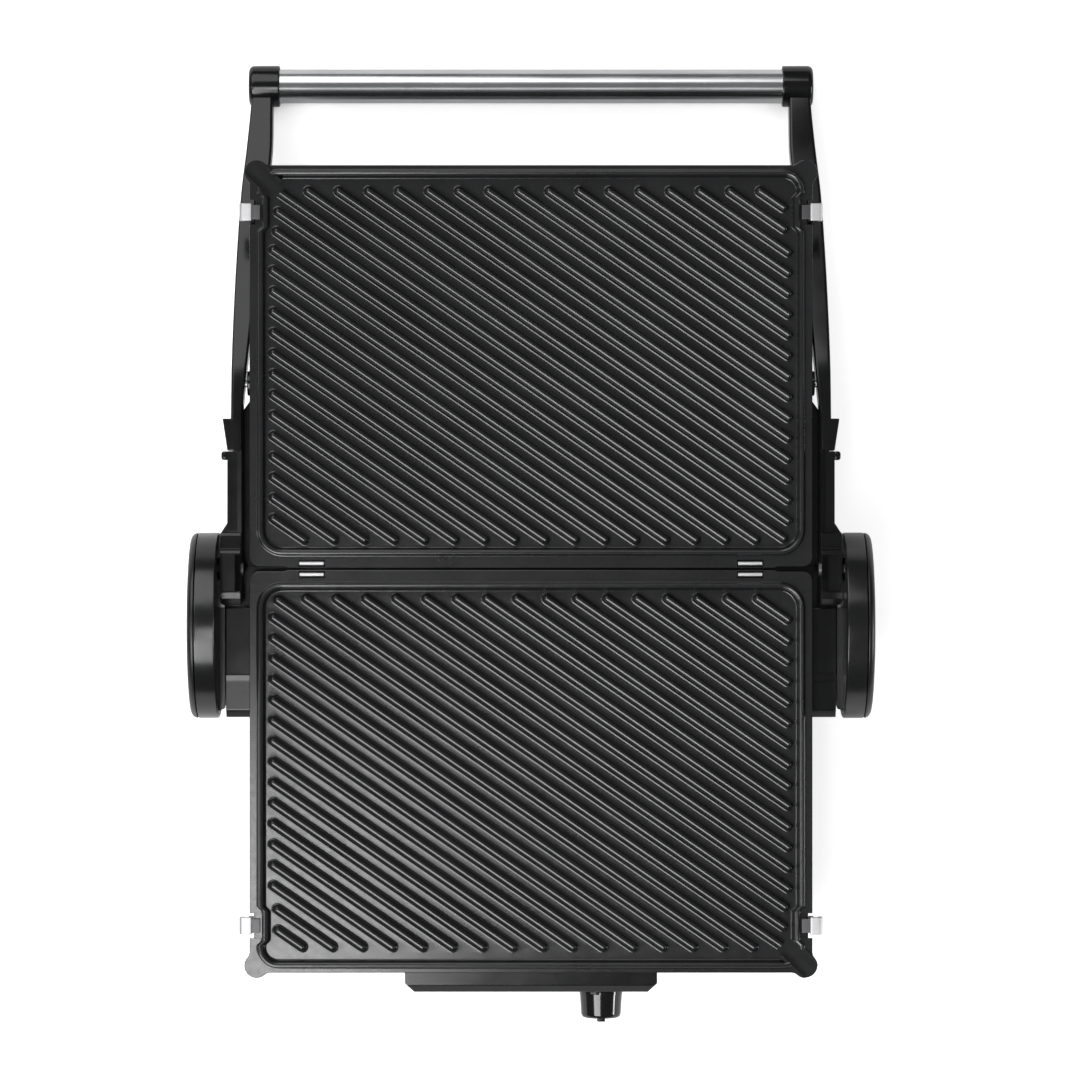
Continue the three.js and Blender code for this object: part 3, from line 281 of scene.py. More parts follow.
def placed(name, data):
    thing = bpy.data.objects.new(name, data)
    bpy.context.scene.collection.objects.link(thing)
    return thing


def as_object(name, form):
    mesh = bpy.data.meshes.new(name)
    mesh.from_pydata([row(p) for p in form.points], [], form.faces)
    cleaned(mesh)
    return placed(name, mesh)


def cleaned(mesh):
    """The mesh with its doubled points joined and its faces turned outwards."""
    work = bmesh.new()
    work.from_mesh(mesh)
    bmesh.ops.remove_doubles(work, verts=work.verts, dist=2e-6)
    bmesh.ops.dissolve_degenerate(work, edges=work.edges, dist=1e-7)
    bmesh.ops.recalc_face_normals(work, faces=work.faces)
    work.to_mesh(mesh)
    work.free()


def bake(thing):
    """The object's mesh as its modifiers leave it."""
    bpy.context.view_layer.update()
    graph = bpy.context.evaluated_depsgraph_get()
    mesh = bpy.data.meshes.new_from_object(thing.evaluated_get(graph))
    thing.modifiers.clear()
    old = thing.data
    thing.data = mesh
    bpy.data.meshes.remove(old)
    return thing


def bevelled(thing, width, segments=2, angle=30):
    bevel = thing.modifiers.new("edges", "BEVEL")
    bevel.width = width * MM
    bevel.segments = segments
    bevel.limit_method = "ANGLE"
    bevel.angle_limit = math.radians(angle)
    bevel.use_clamp_overlap = True
    return bake(thing)


def combined(thing, others, operation):
    """The object joined with, or cut by, other forms or objects, which are used up."""
    for other in others:
        tool = other if isinstance(other, bpy.types.Object) else as_object("tool", other)
        change = thing.modifiers.new("change", "BOOLEAN")
        change.operation = operation
        change.solver = "MANIFOLD"
        change.object = tool
        bake(thing)
        bpy.data.objects.remove(tool)
    return thing


def finished(thing, material, body, nodes=(), angle=32):
    """Smooth shading, finish, body and CAD nodes of a piece."""
    mesh = thing.data
    mesh.materials.clear()
    mesh.materials.append(material)
    mesh.shade_smooth()
    mesh.set_sharp_from_angle(angle=math.radians(angle))
    weights = thing.modifiers.new("normals", "WEIGHTED_NORMAL")
    weights.keep_sharp = True
    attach(thing, body)
    if nodes:
        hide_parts(*nodes)
    return thing


# Finishes


class Finish:
    """A node material whose textures follow the piece's own place in metres."""

    def __init__(self, name, metallic=0.0, ior=1.5, coat=0.0, coat_roughness=0.1):
        self.material = bpy.data.materials.new(name)
        self.material.use_nodes = True
        self.nodes = self.material.node_tree.nodes
        self.links = self.material.node_tree.links
        self.shader = self.nodes["Principled BSDF"]
        self.shader.inputs["Metallic"].default_value = metallic
        self.shader.inputs["IOR"].default_value = ior
        self.shader.inputs["Coat Weight"].default_value = coat
        self.shader.inputs["Coat Roughness"].default_value = coat_roughness
        self.coords = self.nodes.new("ShaderNodeTexCoord").outputs["Object"]
        self.normal = None

    def noise(self, scale, detail=2.0, stretch=(1, 1, 1), roughness=0.5):
        mapping = self.nodes.new("ShaderNodeMapping")
        mapping.inputs["Scale"].default_value = stretch
        self.links.new(self.coords, mapping.inputs["Vector"])
        noise = self.nodes.new("ShaderNodeTexNoise")
        noise.inputs["Scale"].default_value = scale
        noise.inputs["Detail"].default_value = detail
        noise.inputs["Roughness"].default_value = roughness
        self.links.new(mapping.outputs["Vector"], noise.inputs["Vector"])
        return noise.outputs["Fac"]

    def ranged(self, value, low, high, to_low, to_high):
        change = self.nodes.new("ShaderNodeMapRange")
        change.inputs["From Min"].default_value = low
        change.inputs["From Max"].default_value = high
        change.inputs["To Min"].default_value = to_low
        change.inputs["To Max"].default_value = to_high
        self.links.new(value, change.inputs["Value"])
        return change.outputs["Result"]

    def ramp(self, value, stops):
        ramp = self.nodes.new("ShaderNodeValToRGB")
        elements = ramp.color_ramp.elements
        while len(elements) < len(stops):
            elements.new(0.5)
        for element, (place, colour) in zip(elements, stops):
            element.position = place
            element.color = (*colour, 1)
        self.links.new(value, ramp.inputs["Fac"])
        return ramp.outputs["Color"]

    def mixed(self, share, first, second):
        mix = self.nodes.new("ShaderNodeMix")
        mix.data_type = "RGBA"
        self.links.new(share, mix.inputs["Factor"])
        for socket, value in (("A", first), ("B", second)):
            target = [i for i in mix.inputs if i.name == socket and i.type == "RGBA"][0]
            if isinstance(value, bpy.types.NodeSocket):
                self.links.new(value, target)
            else:
                target.default_value = (*value, 1)
        return [o for o in mix.outputs if o.type == "RGBA"][0]

    def colour(self, value):
        self.links.new(value, self.shader.inputs["Base Color"])

    def roughness(self, value):
        self.links.new(value, self.shader.inputs["Roughness"])

    def bump(self, height, distance, strength=1.0):
        bump = self.nodes.new("ShaderNodeBump")
        bump.inputs["Distance"].default_value = distance * MM
        bump.inputs["Strength"].default_value = strength
        self.links.new(height, bump.inputs["Height"])
        if self.normal is not None:
            self.links.new(self.normal, bump.inputs["Normal"])
        self.normal = bump.outputs["Normal"]
        self.links.new(self.normal, self.shader.inputs["Normal"])


def coated(name):
    """Non-stick coating on die-cast metal: dark, finely speckled, slightly uneven."""
    finish = Finish(name)
    broad = finish.noise(26, 4)
    base = finish.ramp(broad, [(0.35, (0.0125, 0.0128, 0.0136)), (0.65, (0.0175, 0.018, 0.019))])
    speck = finish.ranged(finish.noise(1500, 3, roughness=0.65), 0.6, 0.74, 0, 1)
    finish.colour(finish.mixed(speck, base, (0.035, 0.036, 0.038)))
    finish.roughness(finish.ranged(finish.noise(300, 4), 0.3, 0.7, 0.12, 0.17))
    finish.bump(finish.noise(1100, 3), 0.014, 0.5)
    return finish.material


def moulded(name, dark, light, low, high, grain=1400, depth=0.03, ior=1.5):
    """Moulded plastic with a fine grain."""
    finish = Finish(name, ior=ior)
    broad = finish.noise(18, 4)
    finish.colour(finish.ramp(broad, [(0.3, dark), (0.7, light)]))
    finish.roughness(finish.ranged(finish.noise(90, 5), 0.3, 0.7, low, high))
    finish.bump(finish.noise(grain, 2), depth, 0.4)
    return finish.material


def polished(name, dark, light, low, high):
    """Smooth glossy plastic with very fine wipe marks."""
    finish = Finish(name, coat=0.3, coat_roughness=0.05)
    finish.colour(finish.ramp(finish.noise(30, 3), [(0.35, dark), (0.65, light)]))
    finish.roughness(finish.ranged(finish.noise(700, 4, (1, 0.1, 1)), 0.3, 0.7, low, high))
    finish.bump(finish.noise(900, 2), 0.008, 0.3)
    return finish.material


def metal(name, dark, light, low, high, stretch=(1, 1, 1), grain=900, depth=0.012):
    """Bare metal, drawn or brushed along the axis whose stretch is smallest."""
    finish = Finish(name, metallic=1.0)
    streak = finish.noise(grain, 4, stretch)
    broad = finish.noise(40, 3)
    shade = finish.ramp(broad, [(0.3, dark), (0.7, light)])
    fine = finish.ranged(streak, 0.35, 0.65, 0, 0.35)
    finish.colour(finish.mixed(fine, shade, tuple(0.8 * c for c in light)))
    finish.roughness(finish.ranged(streak, 0.3, 0.7, low, high))
    finish.bump(streak, depth, 0.4)
    return finish.material


def lens(name, dark, light):
    """Coloured clear plastic of a signal lamp."""
    finish = Finish(name, coat=0.6, coat_roughness=0.03)
    finish.shader.inputs["Transmission Weight"].default_value = 0.35
    finish.colour(finish.ramp(finish.noise(500, 2), [(0.35, dark), (0.65, light)]))
    finish.roughness(finish.ranged(finish.noise(800, 2), 0.3, 0.7, 0.12, 0.2))
    finish.bump(finish.noise(600, 1), 0.02, 0.3)
    return finish.material


FINISHES = {
    "plate_coating": coated("plate_coating"),
    "body_plastic": moulded(
        "body_plastic", (0.004, 0.0042, 0.0046), (0.006, 0.0063, 0.0068), 0.12, 0.16,
        depth=0.012, ior=1.42,
    ),
    "hub_plastic": moulded(
        "hub_plastic", (0.005, 0.0052, 0.0056), (0.0075, 0.0078, 0.0084), 0.19, 0.25, 1800, 0.01
    ),
    "arm_plastic": moulded(
        "arm_plastic", (0.004, 0.0042, 0.0047), (0.0062, 0.0065, 0.0071), 0.13, 0.18,
        depth=0.012, ior=1.4,
    ),
    "knob_gloss": polished("knob_gloss", (0.004, 0.004, 0.0045), (0.0065, 0.0065, 0.007), 0.1, 0.16),
    "handle_steel": metal(
        "handle_steel", (0.55, 0.56, 0.57), (0.64, 0.65, 0.66), 0.17, 0.27, (0.02, 1, 1)
    ),
    "cover_steel": metal(
        "cover_steel", (0.45, 0.455, 0.46), (0.54, 0.545, 0.55), 0.3, 0.42, (0.012, 1, 1)
    ),
    "latch_steel": metal("latch_steel", (0.6, 0.6, 0.61), (0.7, 0.7, 0.71), 0.5, 0.58, (0.15, 1, 1)),
    "spring_steel": metal("spring_steel", (0.42, 0.42, 0.43), (0.52, 0.52, 0.53), 0.25, 0.35),
    "shaft_steel": metal("shaft_steel", (0.48, 0.48, 0.49), (0.58, 0.58, 0.59), 0.25, 0.35),
    "element_steel": metal("element_steel", (0.1, 0.09, 0.085), (0.2, 0.18, 0.17), 0.4, 0.55),
    "reflector_aluminium": metal(
        "reflector_aluminium", (0.66, 0.67, 0.68), (0.76, 0.77, 0.78), 0.3, 0.42
    ),
    "ceramic": moulded("ceramic", (0.62, 0.6, 0.54), (0.7, 0.68, 0.62), 0.35, 0.5),
    "rubber": moulded("rubber", (0.008, 0.008, 0.008), (0.014, 0.014, 0.014), 0.72, 0.85, 700, 0.06),
    "red_lens": lens("red_lens", (0.42, 0.02, 0.012), (0.6, 0.04, 0.02)),
    "green_lens": lens("green_lens", (0.03, 0.28, 0.05), (0.05, 0.42, 0.09)),
}
COVER = moulded("hub_cover_plastic", (0.0025, 0.0025, 0.003), (0.0045, 0.0045, 0.005), 0.3, 0.4)
# Darker steel: painted shade on the hinge pins, where they show in the gap between the housings; the
# latch noses are dark steel too.
DARK_STEEL_AND_PAINTED_SHADE = metal("dark_steel_and_painted_shade", (0.1, 0.1, 0.105), (0.15, 0.15, 0.155), 0.4, 0.5)

SLOT_OF = {part["node"]: part["material_slot"] for part in frame["record"]["subparts"]}
# The hinge pins take the darker steel as painted shade.
for node, thing in frame["nodes"].items():
    pin_painted_shade = node.startswith("hinge_pin")
    thing.data.materials.clear()
    thing.data.materials.append(DARK_STEEL_AND_PAINTED_SHADE if pin_painted_shade else FINISHES[SLOT_OF[node]])


# Grill plates


def flange_ring(inset):
    """The flange's outline with a round ear at each front corner, moved inwards by inset."""
    right = [(0, PLATE_BACK - inset), (136.4, PLATE_BACK - inset), (138.2, PLATE_BACK - 0.75 - inset)]
    right += arc(PLATE_HALF - 5.6, PLATE_BACK - 6.35, 5.6 - inset, 90, 0, 8)
    right += arc(162.8, -214.62, 5 + inset, 180, 220.86, 6)
    right += arc(*EAR, 6.9 - inset, 40.86, -130.86, 22)
    right += arc(146.02, -231.4, 5 + inset, 49.14, 90, 6)
    left = [(-x, y) for x, y in reversed(right[1:])]
    return right + left


BAY_HALF = 11.4
BAY_RAMP = 3.6
BAY_DEPTH = 2.7


def bay_depth(y):
    """How far the rim steps inwards at a latch."""
    share = min(max((BAY_HALF - abs(y - LATCH_Y)) / BAY_RAMP, 0), 1)
    return BAY_DEPTH * share * share * (3 - 2 * share)


def rim_ring(inset):
    """The rim's outline with a bay at each latch, moved inwards by inset."""
    half, back, front = RIM_HALF - inset, RIM_BACK - inset, RIM_FRONT + inset
    back_radius, front_radius = 14 - inset, 11.5 - inset
    points = []
    corners = [
        (half - front_radius, front + front_radius, 270, front_radius),
        (half - back_radius, back - back_radius, 0, back_radius),
        (back_radius - half, back - back_radius, 90, back_radius),
        (front_radius - half, front + front_radius, 180, front_radius),
    ]
    ramp = [BAY_RAMP * i / 6 for i in range(7)]
    steps = [-BAY_HALF + step for step in ramp] + [BAY_HALF - BAY_RAMP + step for step in ramp]
    for corner, (x, y, start, radius) in enumerate(corners):
        points += arc(x, y, radius, start, start + 90, 9)
        if corner % 2 == 0:
            side = 1 if corner == 0 else -1
            places = [LATCH_Y + side * step for step in steps]
            points += [(side * (half - bay_depth(place)), place) for place in places]
    return points


# Profiles as (inset, height): of the rim inwards from its outline, and of a rib towards its middle line

RIM_PROFILE = [
    (-0.9, FLANGE_TOP), (-0.7, FLANGE_TOP), (-0.35, FLANGE_TOP + 0.13), (-0.1, FLANGE_TOP + 0.42),
    (0.12, -1.5), (0.26, -1.0), (0.55, -0.66), (1.0, -0.5), (1.5, -0.52), (2.0, -0.6), (2.4, -0.72),
    (2.75, -1.0), (2.95, -1.5), (3.4, -4.0), (3.52, -4.5), (3.74, -4.96), (4.06, -5.28), (4.42, -5.46),
    (4.65, FLOOR_TOP), (4.8, FLOOR_TOP),
]

RIB_PROFILE = [
    (3.65, FLOOR_TOP), (3.37, -5.475), (3.1, -5.405), (2.85, -5.29), (2.62, -5.13), (2.42, -4.93),
    (2.25, -4.7), (2.12, -4.45), (1.52, -2.1), (1.42, -1.78), (1.25, -1.5), (1.0, -1.28), (0.7, -1.14),
    (0.35, -1.04), (0.1, RIB_TOP),
]
RIB_SLOPE = math.radians(34.45)
RIB_PITCH = 9.55
RIB_SHIFT = 0.5
RIB_MIDDLE = -115.25
RIB_SHORTEST = 9
RIB_FIELD = (144.6, -16.4, -211.9)
RIM_CLEARANCE = 0.15


def rib_ends(offset):
    """The two ends of a rib's middle line, offset across the slope from the field's middle."""
    half, back, front = RIB_FIELD
    middle = Vector((offset * math.sin(RIB_SLOPE), RIB_MIDDLE + offset * math.cos(RIB_SLOPE)))
    along = Vector((math.cos(RIB_SLOPE), -math.sin(RIB_SLOPE)))
    start = max((-half - middle.x) / along.x, (back - middle.y) / along.y)
    end = min((half - middle.x) / along.x, (front - middle.y) / along.y)
    return clear_of_rim(middle + along * start, along), clear_of_rim(middle + along * end, -along)


def clear_of_rim(point, inwards):
    """The point moved inwards until a rib's round end there is clear of the rim."""
    wall = [Vector(p) for p in rim_ring(RIM_PROFILE[-1][0])]
    room = RIB_PROFILE[0][0] + RIM_CLEARANCE
    while any(distance(point, wall[i - 1], wall[i]) < room for i in range(len(wall))):
        point = point + inwards * 0.2
    return point


def stadium(first, last, width, steps=8):
    """The outline at a distance from the line between two points."""
    along = (last - first).normalized()
    heading = math.atan2(along.y, along.x)
    points = []
    for centre, start in ((last, heading - math.pi / 2), (first, heading + math.pi / 2)):
        for step in range(steps + 1):
            angle = start + math.pi * step / steps
            points.append((centre.x + width * math.cos(angle), centre.y + width * math.sin(angle)))
    return points


def plate_form():
    form = Form()
    under = rounded(149.2, -11.8, -219.5, 11, 9, 9)
    edge = [(0.5, FLANGE_TOP), (0.35, FLANGE_TOP), (0.1, FLANGE_TOP - 0.12), (0, FLANGE_TOP - 0.4)]
    edge += [(0, FLANGE_UNDER + 0.4), (0.1, FLANGE_UNDER + 0.12)]
    edge += [(0.35, FLANGE_UNDER), (0.5, FLANGE_UNDER)]
    form.loft(levels([(flange_ring(inset), z) for inset, z in edge]), capped=False)
    form.loft(levels([(rim_ring(inset), z) for inset, z in RIM_PROFILE]), capped=False)
    form.loft(levels([(under, FLANGE_UNDER), (under, PLATE_UNDER)]), capped=False)
    rim_out, rim_in = rim_ring(RIM_PROFILE[0][0]), rim_ring(RIM_PROFILE[-1][0])
    form.flat(flange_ring(0.5), [rim_out], FLANGE_TOP, lambda p: inside(p, rim_out))
    form.flat(flange_ring(0.5), [under], FLANGE_UNDER, lambda p: inside(p, under))
    form.flat(under, [], PLATE_UNDER, lambda p: False)
    spans = []
    for count in range(-30, 31):
        first, last = rib_ends(RIB_SHIFT + count * RIB_PITCH)
        if last.x - first.x > RIB_SHORTEST:
            spans.append((first, last))
            form.loft(levels([(stadium(first, last, w), z) for w, z in RIB_PROFILE]), capped=False)
            top = stadium(first, last, RIB_PROFILE[-1][0])
            form.faces.append(tuple(form.ring([(x, y, RIB_TOP) for x, y in top])))
    feet = [stadium(first, last, RIB_PROFILE[0][0]) for first, last in spans]

    def in_rib(point):
        return any(distance(point, first, last) < RIB_PROFILE[0][0] - 0.01 for first, last in spans)

    return form.flat(rim_in, feet, FLOOR_TOP, in_rib)


def distance(point, first, last):
    along = last - first
    share = min(max((point - first).dot(along) / along.length_squared, 0), 1)
    return (point - first - along * share).length


def inside(point, outline):
    hit = False
    for i, (x1, y1) in enumerate(outline):
        x0, y0 = outline[i - 1]
        if (y0 > point.y) != (y1 > point.y) and point.x < (x1 - x0) * (point.y - y0) / (y1 - y0) + x0:
            hit = not hit
    return hit


def corner_bar(width, inwards, outwards, low, high):
    """A bar towards the ear at the right front corner, at 45 degrees."""
    share = math.sqrt(0.5)
    half = width / 2
    outline = [(-inwards, -half), (outwards, -half), (outwards, half), (-inwards, half)]
    turned_outline = [(EAR[0] + (a + b) * share, EAR[1] + (b - a) * share) for a, b in outline]
    return prism(turned_outline, "z", low, high)


def clip_slot(side):
    x = side * CLIP_X
    return block(x - 7.4, x + 7.4, -5.2, -1.3, PLATE_UNDER - 2, 1)


def latch_bed(side):
    return mirrored(block(150.9, 160, LATCH_Y - 7, LATCH_Y + 7, -4.7, 1), side)


def latch_gap(side):
    low, high = LATCH_Y - 7, LATCH_Y + 7
    corners = [(154.5, low, 1.4), (165, low, 0), (165, high, 0), (154.5, high, 1.4)]
    return mirrored(prism(filleted(corners), "z", -12, 1), side)


def grill_plates():
    plate = as_object("plate", plate_form())
    profile = [(0, PLATE_UNDER), (6.6, PLATE_UNDER), (6.9, -8.6), (6.9, -2.3), (6.6, -1.9), (0, -1.9)]
    ear = turned(profile, 40, "z", EAR)
    bar = corner_bar(13.4, 13.8, 0, PLATE_UNDER, -1.9)
    combined(plate, [ear, bar], "UNION")
    channel = corner_bar(9.8, 17.6, 14, FLOOR_TOP - 0.25, 2)
    cuts = [cut(side) for cut in (clip_slot, latch_bed, latch_gap) for side in (1, -1)]
    combined(plate, [channel, *cuts], "DIFFERENCE")
    upper = placed("upper_plate", plate.data.copy())
    half_turned_mesh(upper)
    plate.name = "lower_plate"
    finished(plate, FINISHES["plate_coating"], "base", ["lower_grill_plate"], 24)
    finished(upper, FINISHES["plate_coating"], "lid", ["upper_grill_plate"], 24)


def plate_fittings(level, body):
    """Rear clips, latches and springs of one level; the lid's are the base's, turned half round."""
    for side in (-1, 1):
        shown = side if level == "lower" else -side
        name = "right" if shown > 0 else "left"
        clip = mirrored(clip_form(), side)
        nose, tab = mirrored(latch_hook(), side), mirrored(latch_tab(), side)
        coil = mirrored(spring_form(), side)
        if level == "upper":
            for form in (clip, nose, tab, coil):
                half_turn(form)
        thing = bevelled(as_object(f"{level}_clip_{name}", clip), 0.35, 2)
        finished(thing, FINISHES["latch_steel"], body, [f"{level}_rear_clip_{name}"])
        latch_body = f"{level}_latch_{name}_body"
        spring_node = f"{level}_latch_spring_{name}"
        node = f"{level}_latch_{name}"
        thing = bevelled(as_object(f"{level}_latch_tab_{name}", tab), 0.55, 3)
        finished(thing, FINISHES["latch_steel"], latch_body, [node])
        thing = bevelled(as_object(f"{level}_latch_hook_{name}", nose), 0.3, 2)
        finished(thing, DARK_STEEL_AND_PAINTED_SHADE, latch_body, [node])
        spring = as_object(f"{level}_spring_{name}", coil)
        finished(spring, FINISHES["spring_steel"], body, [spring_node])
        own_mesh(spring)


def clip_form():
    """The rear clip: an upright leaf with a lip over the plate's back edge."""
    profile = [
        (-4.2, -15.9), (-3.0, -15.9), (-3.0, -3.2), (-2.1, -3.2),
        (-2.1, -2.35), (-3.0, -1.9), (-3.6, -1.9), (-4.2, -2.5),
    ]
    return prism(profile, "x", CLIP_X - CLIP_HALF, CLIP_X + CLIP_HALF)


def latch_tab():
    """The thumb tab, bent down at its outer end."""
    profile = [
        (156.5, -4.4), (161, -4.4), (161, -9.6), (163.5, -9.6),
        (163.5, -3.2), (162.2, -1.75), (158, -1.6), (156.5, -1.7),
    ]
    return prism(profile, "y", LATCH_Y - LATCH_WIDTH / 2, LATCH_Y + LATCH_WIDTH / 2)


def latch_hook():
    """The nose on the plate, the stem through the housing and the foot with the spring's head."""
    y = LATCH_Y
    nose = block(151.8, 156.7, y - 4, y + 4, -4.4, -2.6)
    stem = block(156.55, 159.4, y - 4, y + 4, -26.4, -4.45)
    foot = block(130.6, 156.5, y - 2.5, y + 2.5, -26.4, -23.6)
    head = block(129, 130.5, y - 4.5, y + 4.5, -29.5, -20.5)
    return nose.merged(stem).merged(foot).merged(head)


def spring_form():
    """A round wire coil between the latch's foot and its seat."""
    turns, per_turn, sides = 3, 20, 8
    first, last, radius, wire = 131.4, SPRING_SEAT_X - 0.6, 3.8, 0.5
    rings = []
    for i in range(turns * per_turn + 1):
        share = i / (turns * per_turn)
        angle = share * turns * 2 * math.pi
        x = first + (last - first) * share
        out = Vector((0, math.cos(angle), math.sin(angle)))
        centre = Vector((x, LATCH_Y, -25)) + out * radius
        ring = []
        for j in range(sides):
            turn = 2 * math.pi * j / sides
            ring.append(centre + out * wire * math.cos(turn) + Vector((wire * math.sin(turn), 0, 0)))
        rings.append(ring)
    return Form().loft(rings)


# Housings

# How far the walls curve inwards, as shares of the way down and of the whole taper

BASE_SIDES = [[0, 0], [0.42, 0.18], [0.86, 0.62], [1, 1]]
LID_SIDES = [[0, 0], [0.4, 0.18], [0.8, 0.64], [1, 1]]
TOP_RADIUS = 7
BASE_RADIUS = 26
LID_RADIUS = 30


def housing_outline(inwards, radius):
    """The housings' outline at the top, moved inwards, with round corners."""
    back, front = HOUSING_BACK - inwards, HOUSING_FRONT + inwards
    return rounded(HOUSING_HALF - inwards, back, front, radius, radius, 12)


def shell(sides, bottom, taper, bottom_radius):
    """A tub's wall: the outer face upwards, then the inner face downwards."""
    shares = [i / 16 for i in range(17)]

    def outline(share, inset):
        inwards = taper * smooth_rows(sides, share)[1] + inset
        radius = max(TOP_RADIUS + (bottom_radius - TOP_RADIUS) * share - inset, 1.5)
        z = HOUSING_TOP + (bottom - HOUSING_TOP) * share
        return [(x, y, z) for x, y in housing_outline(inwards, radius)]

    outer = [outline(share, 0) for share in reversed(shares)]
    inner = [outline(share, WALL) for share in shares]
    return Form().loft(outer + inner, looped=True)


# Side view of the tower that carries a hub, as (y, z, corner radius)

TOWER = [
    (-21.8, -9, 0.8), (-59.3, -9, 0), (-59.5, -6.5, 0.3), (-62.9, -7.1, 0.3), (-63.1, -9, 0),
    (-79.3, -9, 1.5), (-83.4, -13.1, 2), (-83.4, -42.8, 4), (-71.1, -60, 4), (-34.1, -60, 4),
    (-21.8, -47.7, 4),
]
TOWER_X = 171.3


def tower(side):
    form = prism(filleted(TOWER, 4), "x", HOUSING_HALF - 16, TOWER_X)
    return bevelled(as_object("tower", mirrored(form, side)), 0.7, 2, 40)


def latch_passage(side):
    y = LATCH_Y
    stem = block(156.2, 170, y - 4.3, y + 4.3, -26.9, 0)
    foot = block(140, 170, y - 2.8, y + 2.8, -26.9, -23.2)
    return mirrored(stem, side), mirrored(foot, side)


def clip_seat(side):
    x = side * CLIP_X
    return block(x - 7.15, x + 7.15, -4.5, 0, -16.2, 0)


def spout_recess():
    return rod(7.5, -9.6, 0, 32, "z", EAR), corner_bar(14.6, 17.9, 0, -9.6, 0)


def plate_seats():
    """What is cut from a housing for its plate, latches and clips."""
    return [*latch_passage(1), *latch_passage(-1), clip_seat(1), clip_seat(-1), *spout_recess()]


def base_housing():
    thing = as_object("base_shell", shell(BASE_SIDES, HOUSING_BOTTOM, BASE_TAPER, BASE_RADIUS))
    # Dark sheets across the back and under the brackets, put in as painted shade: they fill the gap
    # between the housings that shows from above.
    lip = [(-9, -34), (4, -34), (4, -30.5), (1.2, -30.5), (1.2, -24), (-9, -24)]
    gap_shade_sheets = [prism(lip, "x", -173, 173)]
    gap_shade_sheets += [block(148, 173, -26, -8, -28, -24), block(-173, -148, -26, -8, -28, -24)]
    combined(thing, [tower(1), tower(-1), *gap_shade_sheets], "UNION")
    panel_opening = block(-63.8, 63.8, -226, -206, -53, -15)
    gland_hole = rod(6.3, -24, 0, 32, "y", CORD_GLAND)
    inner = prism(rounded(137, -20, -206, 20, 20, 12), "z", -71, -7)
    combined(thing, [inner, panel_opening, gland_hole, *plate_seats()], "DIFFERENCE")
    finished(thing, FINISHES["body_plastic"], "base", ["base_housing"])


def lid_housing():
    thing = as_object("lid_shell", shell(LID_SIDES, LID_BOTTOM, LID_TAPER, LID_RADIUS))
    combined(thing, plate_seats(), "DIFFERENCE")
    half_turned_mesh(thing)
    # Dark sheets across the back and along each side under the bracket, put in as painted shade: they
    # fill the gap between the housings that shows from above.
    lid_gap_shade_sheet = [(146, 8), (163.6, 8), (163.6, 88), (149, 108), (146, 108)]
    added = [block(-163.6, 163.6, 2.2, 9, -30, -26)]
    for side in (1, -1):
        added.append(mirrored(prism(lid_gap_shade_sheet, "z", -30, -26), side))
        for y in ARM_SCREWS:
            reach = arm_section(arm_share(y + 7))["inner"] - FIT
            profile = [(0, 141), (7, 141), (7, reach - 0.5), (6.5, reach), (0, reach)]
            added.append(mirrored(turned(profile, 32, "x", screw_centre(y)), side))
    combined(thing, added, "UNION")
    finished(thing, FINISHES["body_plastic"], "lid", ["lid_housing"])


def screw_centre(y):
    """The place of an arm screw: half way up the arm there."""
    section = arm_section(arm_share(y))
    return y, section["top"] - section["height"] / 2


def lid_cover():
    """The cap that is on top when the grill is closed."""
    table = [[0, 0], [0.6, 0.3], [1, 1]]
    top, depth, sheet = LID_BOTTOM - FIT, 7.7, 1.5

    def ring(share, inset, lift):
        inwards = LID_TAPER + inset + 10 * smooth_rows(table, share)[1]
        outline = housing_outline(inwards, LID_RADIUS - inset)
        return [(x, y, top - depth * share + lift) for x, y in outline]

    shares = [i / 10 for i in range(11)]
    outer = [ring(share, 0, 0) for share in reversed(shares)]
    inner = [ring(share, sheet, sheet) for share in shares]
    inner[0] = [(x, y, top) for x, y, z in inner[0]]
    thing = as_object("lid_top", half_turn(Form().loft(outer + inner)))
    finished(thing, FINISHES["cover_steel"], "lid", ["lid_cover"])


FEET = {
    "foot_front_left": (-123.8, -192.4),
    "foot_front_right": (123.8, -192.4),
    "foot_rear_left": (-123.8, -36.6),
    "foot_rear_right": (123.8, -36.6),
}


def bottom_cover():
    """The base's floor with a recess for each foot and two rows of vent slots."""
    outline = housing_outline(BASE_TAPER, BASE_RADIUS)
    thing = bevelled(as_object("base_floor", prism(outline, "z", -71.7, -69.3)), 0.5, 2)
    cuts = [rod(9.3, -73, -70.5, 40, "z", place) for place in FEET.values()]
    for side in (-1, 1):
        for count in range(-2, 3):
            x, y = count * 12, -113.5 + side * 30
            corners = [(x - 2, y - 17), (x + 2, y - 17), (x + 2, y + 17), (x - 2, y + 17)]
            cuts.append(prism(filleted([(*corner, 1.9) for corner in corners]), "z", -73, -68))
    combined(thing, cuts, "DIFFERENCE")
    finished(thing, FINISHES["body_plastic"], "base", ["base_bottom_cover"])


def feet():
    profile = [
        (0, -79.7), (3.2, -79.7), (3.6, TABLE_Z), (6.9, TABLE_Z), (7.5, -79.75), (7.8, -79.2),
        (8.9, -72.4), (9, -71.9), (9, -71.1), (8.7, -70.8), (0, -70.8),
    ]
    for node, place in FEET.items():
        thing = as_object(node.replace("foot", "rubber_foot"), turned(profile, 48, "z", place))
        finished(thing, FINISHES["rubber"], "base", [node])


# Hubs and hinge


SIDES = ((1, "right"), (-1, "left"))


def quarter(radius, centre_radius, centre_x, step):
    """A rounded edge of a turned profile: from the rim round to the outer face."""
    angles = [math.radians(angle) for angle in range(step, 91, step)]
    return [(centre_radius + radius * math.cos(a), centre_x + radius * math.sin(a)) for a in angles]


